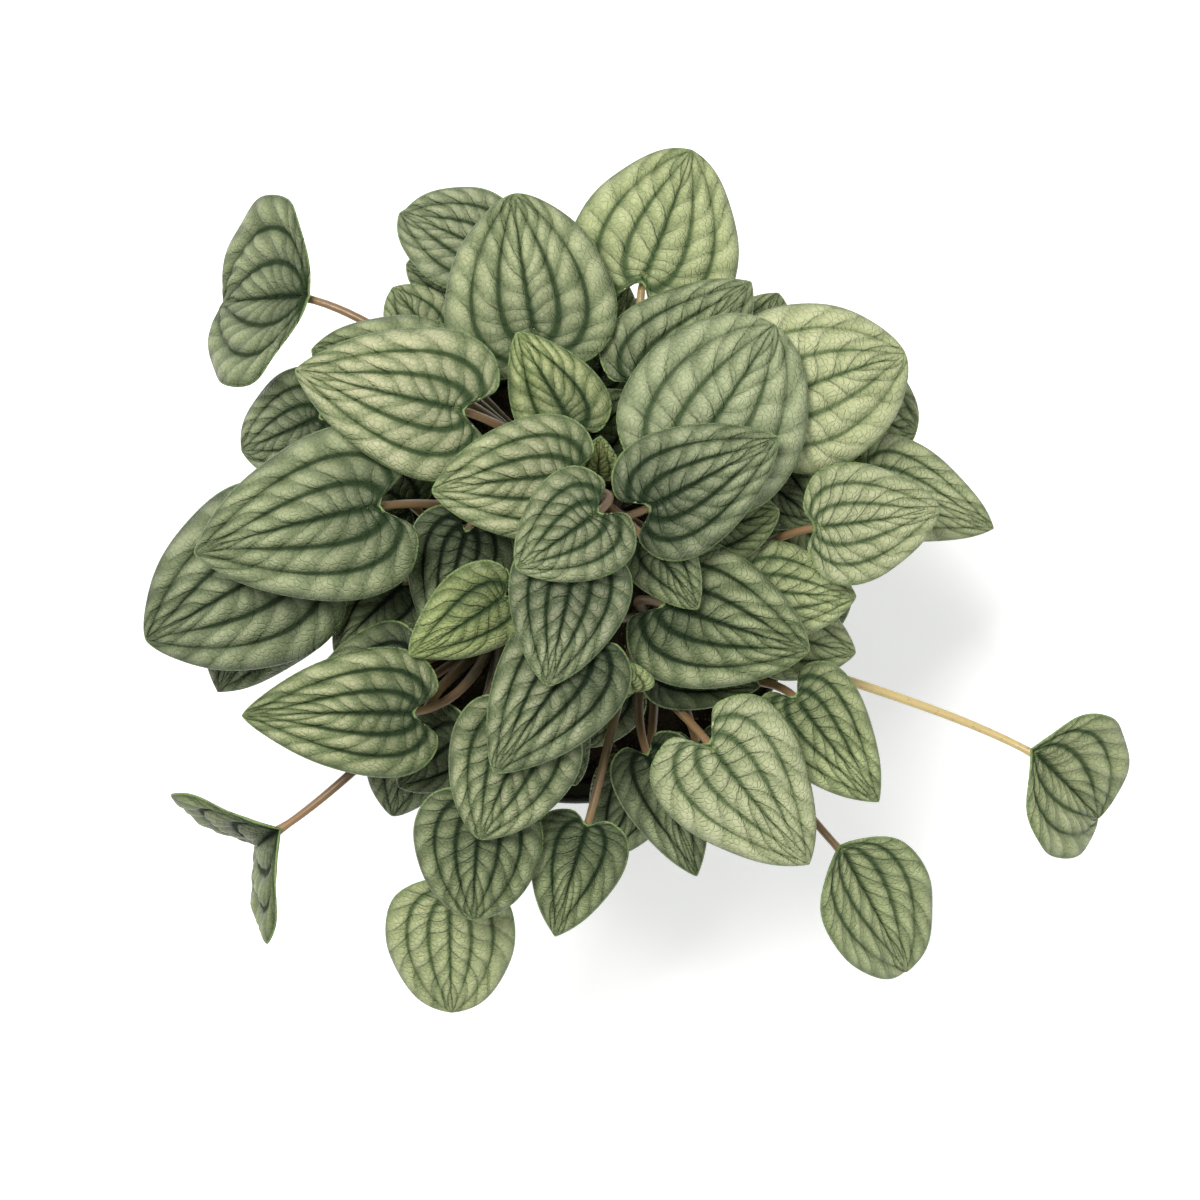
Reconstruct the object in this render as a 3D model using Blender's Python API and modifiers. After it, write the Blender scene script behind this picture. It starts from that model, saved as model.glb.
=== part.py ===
"""A ripple peperomia in its nursery pot, as an assembly of separate pieces.

The plant is a low dome of heart-shaped, deeply quilted silver-green leaves. Three crowns stand in the
soil, each a short stem with its leaf stalks grown from it, and every leaf blade sits on the end of one
stalk. X and Y are as seen from straight above, with +Y at the top of that view, and the origin is the
middle of the pot's underside. Lengths in the tables are in millimetres and angles in degrees.
"""

import math
from collections import namedtuple

import bmesh
import bpy
import numpy as np
from mathutils import Vector
from mathutils.bvhtree import BVHTree

MM = 0.001
MERGE = 0.00002  # metres within which points are made one
SOLVER = "EXACT"
CLEAR = 0.3  # gap between pieces that touch

# Pot
POT_HEIGHT = 104.0
POT_TOP_RADIUS = 60.0
POT_BASE_RADIUS = 43.0
POT_WALL = 1.6
POT_FLOOR = 2.0
POT_SIDES = 36
RIM_HEIGHT = 9.0
RIM_PROUD = 1.8
DRAIN_RADIUS = 4.0
DRAIN_CIRCLE = 29.0
DRAIN_COUNT = 6
DRAIN_SIDES = 12

# Soil, its top domed, with a shoulder at a share of its radius and of the dome's rise
SOIL_TOP = 92.0
SOIL_CROWN = 3.0
SOIL_SHOULDER = (0.55, 0.7)
HOLE_SPARE = 10.0  # how far the tools for its holes stand above it

# Dome that the top leaves follow: the height of a leaf's foot, by its distance from the pot's axis
DOME_TOP = 196.0
DOME_FALL = 0.0052

# Blade
BLADE_THICK = 0.8
LOBE_BACK = 0.26  # how far the lobes reach behind the stalk, as a share of the width
SINUS_WIDTH = 0.12
SINUS_BACK = 0.05
ROUNDING = 0.85  # fullness of the outline near the stalk: lower is fuller
OUTLINE_SAMPLES = 201
LOBE_FOLD = 35.0  # the more a leaf is folded, the less its lobes reach back, down to the least share
LOBE_LEAST = 0.15
VEIN_PACE = 1.7  # how the points of the midrib crowd towards the stalk
ROW_CROWDING = 0.45  # how far the rows of a blade crowd towards its two ends
PUFF = 0.036  # rise of the quilting between veins, as a share of the width
WIDE_BANDS = 3  # quilted bands on each half of a wide blade, between its long veins
SMALL_BANDS = 2
BAND_SHAPE = 0.8  # lower makes the bands flatter on top and the veins sharper
SWELL_SHAPE = 0.5
EDGE_WAVE = 0.018
WAVE_COUNT = 3  # waves along each edge
WAVE_SHIFT = 0.37
ARCH_LONG = 0.10
ARCH_ACROSS = 0.10
SWAY = 0.05  # sideways bend of the midrib, as a share of the length
SWAY_PHASE = (1.3, 0.7)
TIP_CALM = 0.6  # how much the quilting dies away towards the tip
CALM_FROM = 0.6

WIDE_LEAF = 26.0  # width from which a blade has the wide ones' bands
WIDE_GRID = (12, 5)  # columns and rows of a wide and of a small blade
SMALL_GRID = (8, 4)

# Layers: height map on which the blades are laid
MAP_REACH = 180.0
MAP_CELL = 1.2
LAYER_GAP = 2.2
LAID_STEPS = 60

# Stalks
STALK_FOOT_RADIUS = 1.6
STALK_END_RADIUS = 1.0
STALK_SEAT = 1.6  # how far ahead of the sinus the stalk meets the blade
STALK_ANGLE = 55.0  # angle between the stalk's end and the blade
STALK_LEAD = 0.15  # where the curve's first guide point lies, as a share of its run
STALK_HOOK = 0.28  # length over which the stalk turns up to the blade, as a share of its reach
SEAT_SPARE = 0.35
STALK_POINTS = 7
STALK_SIDES = 6
STALK_LOW = 97.0  # height at which the lowest and the highest stalk leave the stem
STALK_HIGH = 109.0

# Search for each stalk's route: sideways bows and rises tried in turn, smallest first
BOWS = (0, 5, -5, 10, -10, 15, -15, 21, -21, 28, -28, 36, -36)
RISES = (0.35, 0.2, 0.5, 0.05, 0.65, 0.8, 1.0)
ROUTE_SAMPLES = 33
ROOM_REACH = 8.0  # distance within which blades are looked for
ROOM_ENOUGH = 1.0
FAR = 99.0
TREE_GRID = (20, 16)

# Crowns: short stems, by name, at x, y
CROWNS = {"crown_n": (2.0, 21.0), "crown_e": (20.0, -12.0), "crown_w": (-19.0, -13.0)}
CROWN_RADIUS = 5.0
CROWN_FOOT = 70.0
CROWN_TOP = 112.0
CROWN_SIDES = 12
POST_STEP = 3.0

# Flower spike
SPIKE_FOOT = (3.0, -14.0)
SPIKE_LOW = 84.0
SPIKE_TIP = (2.0, -28.0, 186.0)
SPIKE_RADIUS = 1.1
SPIKE_POINTS = 15
SPIKE_WAIST = 0.85
SPIKE_HOLE_SIDES = 8

# Finishes: colour and roughness
FINISHES = {
    "leaf": ((0.33, 0.39, 0.27), 0.45),
    "stalk": ((0.42, 0.22, 0.13), 0.5),
    "spike": ((0.50, 0.52, 0.20), 0.5),
    "soil": ((0.045, 0.03, 0.02), 0.95),
    "pot": ((0.03, 0.03, 0.03), 0.5),
}

Leaf = namedtuple("Leaf", "name crown x y heading reach span drop pitch roll fold taper")

# The leaves, from the lowest to the topmost. x, y: the stalk's end; reach: plan length from there to
# the tip; span: width; drop: depth below the dome; pitch: nose down; fold: halves raised about the
# midrib; taper: how sharply the blade narrows to its tip
LEAVES = [
    Leaf("leaf_01", "crown_n", -30, 78, 160, 17, 19, 30, 28, 0, 0, 0.5),
    Leaf("leaf_02", "crown_n", -38, 63, 125, 18, 21, 32, 30, 0, 0, 0.5),
    Leaf("leaf_03", "crown_n", -19, 83, 151, 32, 28, 16, 26, 0, 22, 0.5),
    Leaf("leaf_04", "crown_w", -76, 3, 241, 43, 40, 26, 34, 0, 0, 0.8),
    Leaf("leaf_05", "crown_n", -68, 41, 200, 24, 30, 24, 34, 0, 0, 0.4),
    Leaf("leaf_06", "crown_n", -38, 49, 164, 34, 33, 16, 26, 0, 0, 0.6),
    Leaf("leaf_07", "crown_n", 6, 50, 76, 28, 21, 26, 24, 0, 0, 0.8),
    Leaf("leaf_08", "crown_n", 43, 53, 67, 25, 25, 22, 28, 0, 0, 0.6),
    Leaf("leaf_09", "crown_n", 69, 44, 341, 23, 33, 18, 26, 0, 0, 0.2),
    Leaf("leaf_10", "crown_e", 78, 25, 341, 37, 26, 14, 26, 0, 0, 0.8),
    Leaf("leaf_11", "crown_n", 57, 14, 315, 23, 22, 36, 30, 0, 0, 0.7),
    Leaf("leaf_12", "crown_n", 47, 25, 324, 19, 21, 26, 22, 0, 0, 0.4),
    Leaf("leaf_13", "crown_e", 52, -15, 344, 23, 23, 22, 30, 0, 0, 0.6),
    Leaf("leaf_14", "crown_e", 23, -23, 344, 26, 21, 42, 18, 0, 0, 0.8),
    Leaf("leaf_15", "crown_e", 17, -53, 248, 26, 23, 26, 34, 0, 0, 0.8),
    Leaf("leaf_16", "crown_w", -30, -42, 217, 22, 22, 26, 28, 0, 0, 0.6),
    Leaf("leaf_17", "crown_w", -45, -3, 221, 26, 24, 32, 24, 0, 0, 0.7),
    Leaf("leaf_18", "crown_w", -44, -22, 196, 29, 22, 30, 26, 0, 0, 0.8),
    Leaf("leaf_19", "crown_n", 1, 32, 46, 21, 22, 26, 16, 0, 0, 0.4),
    Leaf("leaf_20", "crown_n", -71, 73, 177, 26, 52, 0, 44, 10, 26, 0.3),
    Leaf("leaf_21", "crown_e", 122, -47, 319, 31, 40, -18, 42, -14, 30, 0.3),
    Leaf("leaf_22", "crown_e", 70, -72, 300, 43, 32, 6, 34, -14, 30, 0.5),
    Leaf("leaf_23", "crown_w", -78, -67, 213, 14, 47, 4, 67, 0, 42, 0.6),
    Leaf("leaf_24", "crown_w", -33, -87, 269, 32, 34, 12, 32, 0, 0, 0.2),
    Leaf("leaf_25", "crown_n", -28, 10, 253, 31, 27, 26, 18, 0, 0, 0.7),
    Leaf("leaf_26", "crown_w", -75, 4, 210, 46, 48, 14, 23, 0, 0, 0.5),
    Leaf("leaf_27", "crown_e", 19, -47, 295, 35, 23, 24, 20, 0, 0, 0.8),
    Leaf("leaf_28", "crown_e", 57, -32, 306, 36, 28, 8, 22, 0, 0, 0.8),
    Leaf("leaf_29", "crown_e", 3, -65, 252, 31, 25, 10, 22, 0, 10, 0.8),
    Leaf("leaf_30", "crown_e", 46, -4, 355, 27, 26, 12, 19, 0, 0, 0.6),
    Leaf("leaf_31", "crown_w", -24, -62, 263, 28, 33, 8, 23, 0, 0, 0.3),
    Leaf("leaf_32", "crown_n", 18, 77, 67, 39, 44, 6, 26, 0, 0, 0.4),
    Leaf("leaf_33", "crown_n", 19, 50, 44, 38, 33, 8, 20, 0, 0, 0.7),
    Leaf("leaf_34", "crown_n", 52, 45, 23, 37, 44, 4, 23, 0, 0, 0.3),
    Leaf("leaf_35", "crown_n", -10, 61, 102, 39, 44, 2, 22, 0, 0, 0.4),
    Leaf("leaf_36", "crown_w", -51, 17, 191, 50, 44, 2, 19, 0, 0, 0.7),
    Leaf("leaf_37", "crown_w", -42, -35, 180, 45, 33, 4, 18, 0, 0, 0.8),
    Leaf("leaf_38", "crown_e", 33, 11, 14, 20, 20, 14, 16, 0, 0, 0.5),
    Leaf("leaf_39", "crown_e", 62, 12, 6, 34, 31, 2, 23, 0, 14, 0.7),
    Leaf("leaf_40", "crown_e", 35, -44, 307, 41, 38, 2, 21, 0, 0, 0.7),
    Leaf("leaf_41", "crown_e", 24, -8, 341, 38, 37, 4, 15, 0, 0, 0.6),
    Leaf("leaf_42", "crown_n", -18, -6, 215, 28, 24, 8, 14, -20, 0, 0.7),
    Leaf("leaf_43", "crown_w", -13, -40, 250, 30, 33, 4, 18, 0, 0, 0.5),
    Leaf("leaf_44", "crown_n", -29, 41, 167, 44, 38, 0, 17, 0, 0, 0.7),
    Leaf("leaf_45", "crown_n", 29, 30, 54, 41, 47, 0, 18, 0, 0, 0.2),
    Leaf("leaf_46", "crown_e", 1, -20, 235, 37, 32, 0, 13, 0, 0, 0.7),
    Leaf("leaf_47", "crown_n", -1, 38, 120, 27, 24, 0, 14, 0, 0, 0.7),
    Leaf("leaf_48", "crown_n", -2, 24, 183, 34, 31, 0, 14, 0, 0, 0.6),
    Leaf("leaf_49", "crown_n", 19, 7, 310, 20, 18, 0, 14, 0, 0, 0.7),
    Leaf("leaf_50", "crown_n", 20, 17, 28, 36, 32, -4, 14, 0, 0, 0.7),
    Leaf("leaf_51", "crown_n", 0, 0, 257, 29, 30, -4, 12, 0, 0, 0.7),
    Leaf("leaf_52", "crown_n", 5, 14, 216, 23, 28, -8, 8, 0, 0, 0.6),
    Leaf("young_leaf_1", "crown_n", 6, 25, 86, 8, 12, 12, -58, 0, 26, 0.6),
    Leaf("young_leaf_2", "crown_e", 15, -29, 111, 7, 11, 6, -58, 0, 26, 0.6),
]


def blade_parameters(columns, rows):
    """a and s over the grid, with the rows closer together near the stalk and near the tip."""
    even = np.linspace(0.0, 1.0, rows + 1)
    drawn = (1.0 - ROW_CROWDING) * even + ROW_CROWDING * (1.0 - np.cos(math.pi * even)) / 2
    return np.meshgrid(np.linspace(-1.0, 1.0, columns + 1), drawn)


def outline_width(s, taper):
    """Width of the outline against s, before it is brought to the leaf's own width.

    The sine gives the full lobes, and the falling power draws the far end out to a tip.
    """
    return np.sin(math.pi * s) ** ROUNDING * (1.0 - s) ** taper


def dome_height(leaf):
    """Height of the leaf's stalk point before it is lifted clear of the leaves below."""
    return DOME_TOP - DOME_FALL * (leaf.x**2 + leaf.y**2) - leaf.drop


def blade_grid(leaf, columns, rows):
    """The blade's middle surface, in millimetres, its stalk point at the leaf's place.

    a runs across the blade from edge to edge, 0 on the midrib, and s runs from the stalk to the tip, so
    that lines of equal a are the long arched veins. The edge goes back round a lobe on each side of the
    notch at the stalk and on to the tip, and every other point is on the straight line between the
    midrib and the edge at the same s. Height is the quilting of bands between veins, a wave along the
    edge, a droop with the square of the distance, and the fold about the midrib.
    """
    a, s = blade_parameters(columns, rows)
    length = leaf.reach / math.cos(math.radians(leaf.pitch))
    lobe = LOBE_BACK * leaf.span * max(LOBE_LEAST, 1.0 - leaf.fold / LOBE_FOLD)
    turn = math.pi * (1.0 - s)
    notch = (lobe - SINUS_BACK * leaf.span) * np.exp(-((math.pi * s / SINUS_WIDTH) ** 2))
    edge_x = (length - lobe) / 2 + (length + lobe) / 2 * np.cos(turn) + notch
    widest = np.max(outline_width(np.linspace(0.0, 1.0, OUTLINE_SAMPLES), leaf.taper))
    edge_y = leaf.span / 2 * outline_width(s, leaf.taper) / widest
    across = np.abs(a)
    x = (1.0 - across) * length * s**VEIN_PACE + across * edge_x
    y = a * edge_y
    bands = WIDE_BANDS if leaf.span >= WIDE_LEAF else SMALL_BANDS
    calm = 1.0 - TIP_CALM * np.clip((s - CALM_FROM) / (1.0 - CALM_FROM), 0.0, 1.0)
    swell = np.sin(math.pi * s) ** SWELL_SHAPE * calm
    puff = PUFF * leaf.span * (np.abs(np.sin(math.pi * bands * a)) ** BAND_SHAPE - 0.5) * swell
    turns = WAVE_COUNT * s + WAVE_SHIFT * leaf.x
    wave = EDGE_WAVE * leaf.span * np.sin(2 * math.pi * turns) * across**3 * swell
    lean = math.sin(SWAY_PHASE[0] * leaf.x + SWAY_PHASE[1] * leaf.y)
    y = y + SWAY * length * lean * (x / length) ** 2
    droop = ARCH_ACROSS * leaf.span * (2 * y / leaf.span) ** 2 + ARCH_LONG * length * (x / length) ** 2
    z = puff + wave - droop + np.abs(y) * math.tan(math.radians(leaf.fold))
    points = np.stack([x, y, z], axis=-1) @ leaf_turn(leaf).T
    return points + np.array([leaf.x, leaf.y, dome_height(leaf)])


def leaf_turn(leaf):
    """Matrix whose columns are the blade's forward, left and upward directions."""
    roll, pitch, heading = (math.radians(v) for v in (leaf.roll, leaf.pitch, leaf.heading))
    cos_x, sin_x, cos_y, sin_y = math.cos(roll), math.sin(roll), math.cos(pitch), math.sin(pitch)
    cos_z, sin_z = math.cos(heading), math.sin(heading)
    about_x = np.array([[1, 0, 0], [0, cos_x, -sin_x], [0, sin_x, cos_x]])
    about_y = np.array([[cos_y, 0, sin_y], [0, 1, 0], [-sin_y, 0, cos_y]])
    about_z = np.array([[cos_z, -sin_z, 0], [sin_z, cos_z, 0], [0, 0, 1]])
    return about_z @ about_y @ about_x


def settle(leaves):
    """Lift of each blade, laid in order from the lowest, that clears all the blades already laid.

    A young leaf, which stands up on its own, takes none.
    """
    size = int(2 * MAP_REACH / MAP_CELL)
    middle = (np.arange(size) + 0.5) * MAP_CELL - MAP_REACH
    radius = np.hypot(*np.meshgrid(middle, middle))
    laid = np.where(radius < POT_TOP_RADIUS + RIM_PROUD, POT_HEIGHT, 0.0)
    lifts = {}
    for leaf in leaves:
        if leaf.pitch < 0:
            lifts[leaf.name] = 0.0
            continue
        points = blade_grid(leaf, LAID_STEPS, LAID_STEPS).reshape(-1, 3)
        cells = ((points[:, :2] + MAP_REACH) / MAP_CELL).astype(int)
        near = np.full(len(points), 0.0)
        for step_x in (-1, 0, 1):
            for step_y in (-1, 0, 1):
                near = np.maximum(near, laid[cells[:, 0] + step_x, cells[:, 1] + step_y])
        lift = max(0.0, float(np.max(near + LAYER_GAP - points[:, 2])))
        lifts[leaf.name] = lift
        np.maximum.at(laid, (cells[:, 0], cells[:, 1]), points[:, 2] + lift)
    return lifts


def stalk_end(leaf, lift):
    """Where the stalk ends under the blade, and the direction in which it arrives."""
    forward, _, up = leaf_turn(leaf).T
    angle = math.radians(STALK_ANGLE)
    arrive = up * math.sin(angle) + forward * math.cos(angle)
    foot = np.array([leaf.x, leaf.y, dome_height(leaf) + lift])
    seat = BLADE_THICK / 2 + CLEAR + SEAT_SPARE + STALK_END_RADIUS * math.cos(angle)
    return foot + STALK_SEAT * forward - seat * up, arrive


def stalk_path(foot, end, arrive, side, rise, points):
    """Cubic curve from the crown to the blade, bowed sideways by side and upwards by rise."""
    foot, end = np.array(foot), np.array(end)
    run = end - foot
    reach = np.linalg.norm(run)
    flat = np.array([-run[1], run[0], 0.0]) / math.hypot(run[0], run[1])
    first = foot + run * STALK_LEAD + np.array([0.0, 0.0, rise * reach]) + flat * side
    last = end - arrive * reach * STALK_HOOK
    t = np.linspace(0.0, 1.0, points)[:, None]
    return (1 - t)**3 * foot + 3 * (1 - t)**2 * t * first + 3 * (1 - t) * t**2 * last + t**3 * end


def stalk_radius(points):
    """Radii of a stalk from its foot to the blade."""
    return np.linspace(STALK_FOOT_RADIUS, STALK_END_RADIUS, points)


def material(name, color, roughness):
    """A plain finish by name."""
    shade = bpy.data.materials.new(name)
    shade.use_nodes = True
    surface = shade.node_tree.nodes["Principled BSDF"]
    surface.inputs["Base Color"].default_value = (*color, 1.0)
    surface.inputs["Roughness"].default_value = roughness
    return shade


def add_object(name, mesh, shade, collection):
    """A named object of a mesh, with its finish, in a collection."""
    piece = bpy.data.objects.new(name, mesh)
    collection.objects.link(piece)
    mesh.materials.clear()
    mesh.materials.append(shade)
    return piece


def blade(leaf, lift, shade, collection):
    """One leaf blade: a grid moved onto the blade's surface, split into triangles and thickened."""
    columns, rows = WIDE_GRID if leaf.span >= WIDE_LEAF else SMALL_GRID
    bm = bmesh.new()
    bmesh.ops.create_grid(bm, x_segments=columns, y_segments=rows, size=1.0)
    surface = blade_grid(leaf, columns, rows) + np.array([0.0, 0.0, lift])
    for vert in bm.verts:
        column = round((vert.co.x + 1) / 2 * columns)
        row = round((vert.co.y + 1) / 2 * rows)
        vert.co = Vector(surface[row, column] * MM)
    bmesh.ops.remove_doubles(bm, verts=bm.verts, dist=MERGE)
    bmesh.ops.triangulate(bm, faces=bm.faces, quad_method="FIXED")
    mesh = bpy.data.meshes.new(leaf.name)
    bm.to_mesh(mesh)
    bm.free()
    piece = add_object(leaf.name, mesh, shade, collection)
    thicken = piece.modifiers.new("thickness", "SOLIDIFY")
    thicken.thickness = BLADE_THICK * MM
    thicken.offset = 0.0
    return piece


def tube(name, points, radii, collection):
    """A round tube along points, in millimetres, as a closed mesh."""
    curve = bpy.data.curves.new(name, "CURVE")
    curve.dimensions = "3D"
    curve.bevel_depth = MM
    curve.bevel_resolution = (STALK_SIDES - 4) // 2
    curve.use_fill_caps = True
    line = curve.splines.new("POLY")
    line.points.add(len(points) - 1)
    for spot, point, radius in zip(line.points, points, radii):
        spot.co = (*(point * MM), 1.0)
        spot.radius = radius
    guide = bpy.data.objects.new(name, curve)
    collection.objects.link(guide)
    graph = bpy.context.evaluated_depsgraph_get()
    mesh = bpy.data.meshes.new_from_object(guide.evaluated_get(graph))
    bpy.data.objects.remove(guide)
    bm = bmesh.new()
    bm.from_mesh(mesh)
    bmesh.ops.remove_doubles(bm, verts=bm.verts, dist=MERGE)
    bmesh.ops.recalc_face_normals(bm, faces=bm.faces)
    bm.to_mesh(mesh)
    bm.free()
    piece = bpy.data.objects.new(name, mesh)
    collection.objects.link(piece)
    return piece


def turned(name, profile, steps, collection, shade):
    """A solid turned about Z from a profile that runs down its outer side."""
    mesh = bpy.data.meshes.new(name)
    mesh.from_pydata([(r * MM, 0.0, z * MM) for r, z in profile],
                     [(i, i + 1) for i in range(len(profile) - 1)], [])
    piece = add_object(name, mesh, shade, collection)
    screw = piece.modifiers.new("turn", "SCREW")
    screw.steps = steps
    screw.render_steps = steps
    screw.use_merge_vertices = True
    screw.merge_threshold = MERGE
    return piece


def rod_cutter(name, x, y, radius, low, high, sides, collection):
    """An upright rod that cuts a round hole."""
    bpy.ops.mesh.primitive_cylinder_add(vertices=sides, radius=radius * MM, depth=(high - low) * MM,
                                        location=(x * MM, y * MM, (low + high) / 2 * MM))
    cutter = bpy.context.active_object
    cutter.name = name
    for owner in list(cutter.users_collection):
        owner.objects.unlink(cutter)
    collection.objects.link(cutter)
    cutter.hide_render = True
    cutter.display_type = "WIRE"
    return cutter


def cut_with(piece, cutters):
    """Take all cutters of a collection out of a piece."""
    cut = piece.modifiers.new("holes", "BOOLEAN")
    cut.operation = "DIFFERENCE"
    cut.operand_type = "COLLECTION"
    cut.collection = cutters
    cut.solver = SOLVER


def pot(collection, cutters, shade):
    """Nursery pot: tapered wall, stepped rim and a floor with drain holes round a solid middle."""
    slope = (POT_TOP_RADIUS - POT_BASE_RADIUS) / POT_HEIGHT
    rim_low = POT_HEIGHT - RIM_HEIGHT
    outer_at_rim = POT_BASE_RADIUS + slope * rim_low
    profile = [
        (0.0, POT_FLOOR),
        (POT_BASE_RADIUS + slope * POT_FLOOR - POT_WALL, POT_FLOOR),
        (outer_at_rim - POT_WALL, rim_low),
        (POT_TOP_RADIUS + RIM_PROUD - POT_WALL, rim_low + POT_WALL),
        (POT_TOP_RADIUS + RIM_PROUD - POT_WALL, POT_HEIGHT),
        (POT_TOP_RADIUS + RIM_PROUD, POT_HEIGHT),
        (POT_TOP_RADIUS + RIM_PROUD, rim_low),
        (outer_at_rim, rim_low),
        (POT_BASE_RADIUS, 0.0),
        (0.0, 0.0),
    ]
    piece = turned("pot", profile, POT_SIDES, collection, shade)
    for i in range(DRAIN_COUNT):
        angle = 2 * math.pi * (i + 0.5) / DRAIN_COUNT
        rod_cutter(f"drain_{i + 1}", DRAIN_CIRCLE * math.cos(angle), DRAIN_CIRCLE * math.sin(angle),
                   DRAIN_RADIUS, -POT_FLOOR, 2 * POT_FLOOR, DRAIN_SIDES, cutters)
    cut_with(piece, cutters)
    return piece


def soil(collection, cutters, shade):
    """Soil that fills the pot, domed in the middle, with a plain hole for each stem."""
    slope = (POT_TOP_RADIUS - POT_BASE_RADIUS) / POT_HEIGHT
    edge = POT_BASE_RADIUS + slope * SOIL_TOP - POT_WALL - CLEAR
    low = POT_FLOOR + CLEAR
    profile = [
        (0.0, SOIL_TOP + SOIL_CROWN),
        (edge * SOIL_SHOULDER[0], SOIL_TOP + SOIL_CROWN * SOIL_SHOULDER[1]),
        (edge, SOIL_TOP),
        (POT_BASE_RADIUS + slope * low - POT_WALL - CLEAR, low),
        (0.0, low),
    ]
    piece = turned("soil", profile, POT_SIDES, collection, shade)
    high = SOIL_TOP + HOLE_SPARE
    for name, (x, y) in CROWNS.items():
        rod_cutter(f"hole_{name}", x, y, CROWN_RADIUS + CLEAR, CROWN_FOOT - CLEAR, high, CROWN_SIDES, cutters)
    rod_cutter("hole_spike", *SPIKE_FOOT, SPIKE_RADIUS + 2 * CLEAR, SPIKE_LOW - CLEAR, high,
               SPIKE_HOLE_SIDES, cutters)
    cut_with(piece, cutters)
    return piece


def along(path):
    """Points at even steps on the straight runs between the path's points, each with its radius."""
    place = np.linspace(0, len(path) - 1, ROUTE_SAMPLES)
    corners = np.arange(len(path))
    points = np.stack([np.interp(place, corners, path[:, i]) for i in range(3)], axis=1)
    return points, np.interp(place, corners, stalk_radius(len(path)))


def blade_tree(leaf, lift):
    """Search tree of the blade's middle surface, for distances to it."""
    grid = blade_grid(leaf, *TREE_GRID) + np.array([0.0, 0.0, lift])
    rows, columns = grid.shape[:2]
    corner = (np.arange(rows - 1)[:, None] * columns + np.arange(columns - 1)).ravel()
    quads = np.stack([corner, corner + 1, corner + columns + 1, corner + columns], axis=1)
    return BVHTree.FromPolygons(grid.reshape(-1, 3).tolist(), quads.tolist())


def spare_room(path, radii, trees, others):
    """Least distance between a stalk and every blade and every stalk of another crown."""
    room = FAR
    for point, radius in zip(path, radii):
        spot = Vector(point)
        for tree in trees:
            found = tree.find_nearest(spot, ROOM_REACH)
            if found[3] is not None:
                room = min(room, found[3] - radius - BLADE_THICK / 2)
    if len(others):
        gaps = np.linalg.norm(path[:, None, :] - others[None, :, :3], axis=2)
        room = min(room, float(np.min(gaps - radii[:, None] - others[None, :, 3])))
    return room


def route(leaf, lift, foot, trees, others):
    """The bow and rise of the first route that clears every blade and the other crowns' stalks.

    The last samples, where the stalk meets its own blade, aren't tested. Where no route has room
    enough, the roomiest one is taken.
    """
    end, arrive = stalk_end(leaf, lift)
    best, best_room = None, -FAR
    for bow in BOWS:
        for rise in RISES:
            path, radii = along(stalk_path(foot, end, arrive, bow, rise, STALK_POINTS))
            room = spare_room(path[:-2], radii[:-2], trees, others)
            if room > best_room:
                best, best_room = (bow, rise), room
            if room >= ROOM_ENOUGH:
                return best
    return best


def grow_stalks(lifts):
    """Routes for all stalks, the lowest leaves first: each as (leaf, foot, bow, rise)."""
    trees = [blade_tree(leaf, lifts[leaf.name]) for leaf in LEAVES]
    posts = {name: crown_post(name) for name in CROWNS}
    laid = {name: [] for name in CROWNS}
    routes = []
    for i, leaf in enumerate(LEAVES):
        others = [np.array(rows) for name in CROWNS if name != leaf.crown for rows in laid[name]]
        others += [posts[name] for name in CROWNS if name != leaf.crown]
        x, y = CROWNS[leaf.crown]
        foot = (x, y, STALK_LOW + (STALK_HIGH - STALK_LOW) * i / len(LEAVES))
        bow, rise = route(leaf, lifts[leaf.name], foot, trees, np.concatenate(others))
        end, arrive = stalk_end(leaf, lifts[leaf.name])
        path, radii = along(stalk_path(foot, end, arrive, bow, rise, STALK_POINTS))
        laid[leaf.crown].append(np.column_stack([path, radii]))
        routes.append((leaf, foot, bow, rise))
    return routes


def crown_post(name):
    """The crown's stem as points along its axis, each with the stem's radius."""
    x, y = CROWNS[name]
    heights = np.arange(SOIL_TOP, CROWN_TOP, POST_STEP)
    return np.array([(x, y, z, CROWN_RADIUS) for z in heights])


def crown(name, routes, lifts, collection, shade):
    """A short stem standing in the soil, with all of its leaf stalks joined to it."""
    x, y = CROWNS[name]
    bpy.ops.mesh.primitive_cylinder_add(vertices=CROWN_SIDES, radius=CROWN_RADIUS * MM,
                                        depth=(CROWN_TOP - CROWN_FOOT) * MM,
                                        location=(x * MM, y * MM, (CROWN_TOP + CROWN_FOOT) / 2 * MM))
    piece = bpy.context.active_object
    piece.name = name
    piece.data.name = name
    for owner in list(piece.users_collection):
        owner.objects.unlink(piece)
    collection.objects.link(piece)
    piece.data.materials.append(shade)
    stalks = bpy.data.collections.new(f"stalks_{name}")
    bpy.context.scene.collection.children.link(stalks)
    for leaf, foot, bow, rise in routes:
        if leaf.crown == name:
            end, arrive = stalk_end(leaf, lifts[leaf.name])
            path = stalk_path(foot, end, arrive, bow, rise, STALK_POINTS)
            tube(f"stalk_{leaf.name}", path, stalk_radius(STALK_POINTS), stalks)
    join = piece.modifiers.new("join", "BOOLEAN")
    join.operation = "UNION"
    join.operand_type = "COLLECTION"
    join.collection = stalks
    join.solver = SOLVER
    bpy.context.view_layer.objects.active = piece
    bpy.ops.object.modifier_apply(modifier=join.name)
    for stalk in list(stalks.objects):
        bpy.data.objects.remove(stalk)
    bpy.data.collections.remove(stalks)
    return piece


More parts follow.
